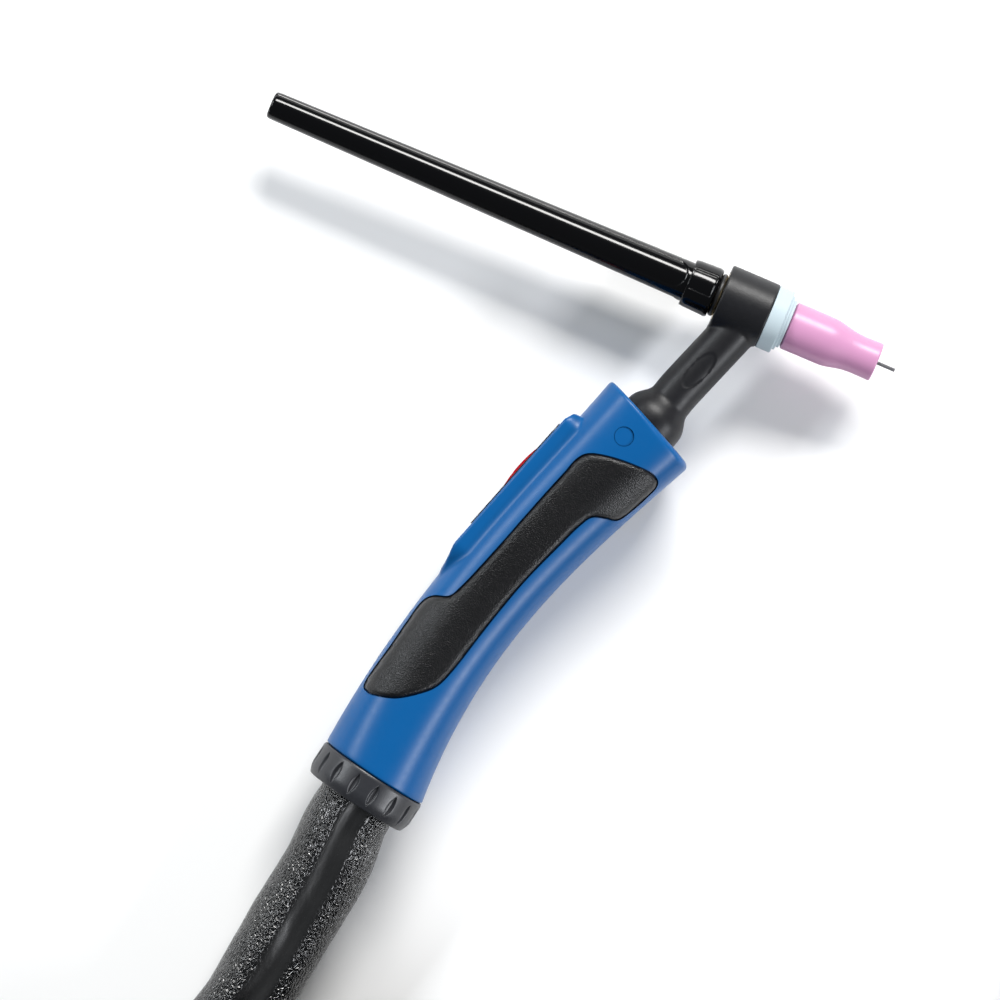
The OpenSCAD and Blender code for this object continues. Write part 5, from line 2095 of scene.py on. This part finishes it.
@dataclass
class RearNut:
    """Nut with a ring of lens-shaped flutes, and the clamp inside it."""

    front: float = 0.3
    length: float = 9.2
    radius: float = 15.8
    rear_radius: float = 14.75
    opening: float = 12.2
    thread: float = 13.65
    lip: float = 1.6
    flutes: int = 16
    flute_at: float = 4.9
    flute_half: Pair = (3.3, 1.15)
    flute_depth: float = 0.85

    def relief(self, x: np.ndarray, turn: np.ndarray, radius: np.ndarray) -> np.ndarray:
        """Cuts the flutes: each is a lens, deepest along its middle.

        Args:
            x: Place along the nut.
            turn: Angle round it.
            radius: Radius without relief.

        Returns:
            The radius with relief.
        """
        pitch = 2 * math.pi / self.flutes
        from_flute = (np.mod(turn, pitch) - pitch / 2) * self.radius
        along = (x - self.flute_at) / self.flute_half[0]
        half = self.flute_half[1] * np.maximum(1 - along**2, 0)
        inside = np.clip(1 - np.abs(from_flute) / np.maximum(half, 1e-3), 0, 1)
        deep = self.flute_depth * np.sqrt(np.maximum(1 - along**2, 0)) * smooth_step(inside * 1.5)
        return np.where(radius > self.thread + 0.5, radius - deep, radius)

    def build(self) -> None:
        """Makes the nut and dresses its clamp."""
        rear = self.front + self.length
        profile = [
            (self.front, 13.7, 0.1), (self.front, self.radius - 0.25, 0.2),
            (self.front + 0.6, self.radius, 0.3), (rear - 2.4, self.radius, 1.2),
            (rear, self.rear_radius, 0.4), (rear, self.opening, 0.3), (rear - self.lip, self.opening),
            (rear - self.lip, self.thread), (self.front + 0.3, self.thread),
        ]
        shape = turned(profile, 480, 0.22, self.relief)
        mesh = shape.moved(LAYOUT.matrix(Place.TAIL)).mesh("hose_nut", 48.0)
        WORKSHOP.piece("hose_nut", mesh, "nut_plastic", "rear_nut", ["rear_nut"])
        WORKSHOP.carry(("sleeve_clamp", "black_plastic", 0.1))


# ------------------------------------------------------------------------------------------ studio


@dataclass(frozen=True)
class Softbox:
    """A soft light aimed at the torch.

    Attributes:
        name: The light's name.
        bearing: Degrees round the torch from +X.
        rise: Degrees above the floor.
        away: Metres from the torch.
        size: Width and height in metres.
        power: Watts.
        colour: Its colour.
    """

    name: str
    bearing: float
    rise: float
    away: float
    size: Pair
    power: float
    colour: Colour = (1.0, 1.0, 1.0)


@dataclass
class Studio:
    """Pale floor, soft lights and the camera."""

    aim: Triple = (0.00733, 0.00493, 0.0158)
    camera_turn: float = 23.09
    frame_width: float = 0.274
    lens: float = 200.0
    sensor: float = 36.0
    floor_half: float = 4.0
    sky: float = 0.16
    boxes: tuple[Softbox, ...] = (
        Softbox("key", 95.0, 36.0, 2.2, (1.2, 0.5), 66.0, (1.0, 0.99, 0.97)),
        Softbox("side", -12.0, 30.0, 2.0, (1.3, 0.28), 30.0, (0.94, 0.96, 1.0)),
        Softbox("fill", 168.0, 32.0, 2.2, (1.3, 0.28), 26.0, (0.93, 0.97, 1.0)),
    )

    def build_camera(self) -> None:
        """Looks straight down on the torch."""
        data = bpy.data.cameras.new("camera")
        data.lens = self.lens
        data.sensor_width = self.sensor
        camera = bpy.data.objects.new("camera", data)
        away = self.frame_width * self.lens / self.sensor
        camera.location = Vector(self.aim) + Vector((0, 0, away))
        camera.rotation_euler = Euler((0, 0, math.radians(self.camera_turn)))
        bpy.context.scene.collection.objects.link(camera)
        bpy.context.scene.camera = camera

    def build_lights(self) -> None:
        """Hangs the softboxes round the torch."""
        for box in self.boxes:
            data = bpy.data.lights.new(box.name, "AREA")
            data.shape = "RECTANGLE"
            data.size, data.size_y = box.size
            data.energy = box.power
            data.color = box.colour
            light = bpy.data.objects.new(box.name, data)
            turn, rise = math.radians(box.bearing), math.radians(box.rise)
            level = math.cos(rise)
            way = Vector((math.cos(turn) * level, math.sin(turn) * level, math.sin(rise)))
            light.location = Vector(self.aim) + box.away * way
            light.rotation_euler = way.to_track_quat("Z", "Y").to_euler()
            bpy.context.scene.collection.objects.link(light)

    def build_floor(self) -> None:
        """Lays the floor and sets the sky."""
        half = self.floor_half
        corners = np.array([(-half, -half, 0), (half, -half, 0), (half, half, 0), (-half, half, 0)])
        floor = bpy.data.objects.new("floor", Shape(corners, [(0, 1, 2, 3)]).mesh("floor"))
        bpy.context.scene.collection.objects.link(floor)
        graph = Graph("floor")
        graph.set(Base_Color=(0.93, 0.93, 0.93), Roughness=0.9, Specular_IOR_Level=0.1)
        floor.data.materials.append(graph.material)
        world = bpy.data.worlds.new("studio")
        world.use_nodes = True
        background = world.node_tree.nodes["Background"]
        background.inputs["Color"].default_value = (0.9, 0.95, 1.0, 1.0)
        background.inputs["Strength"].default_value = self.sky
        bpy.context.scene.world = world

    def build(self) -> None:
        """Sets up camera, lights and floor."""
        self.build_camera()
        self.build_lights()
        self.build_floor()
        bpy.context.scene.view_settings.view_transform = "Standard"


def main() -> None:
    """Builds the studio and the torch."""
    logging.basicConfig(level=logging.INFO, format="%(name)s: %(message)s")
    for kind in (Studio, HosePackage, RubberHead, GasEnd, LongCap, Handle, Switch, RearNut):
        assembly = kind()
        assembly.build()
        LOG.info("%s done", type(assembly).__name__)


if __name__ == "__main__":
    main()
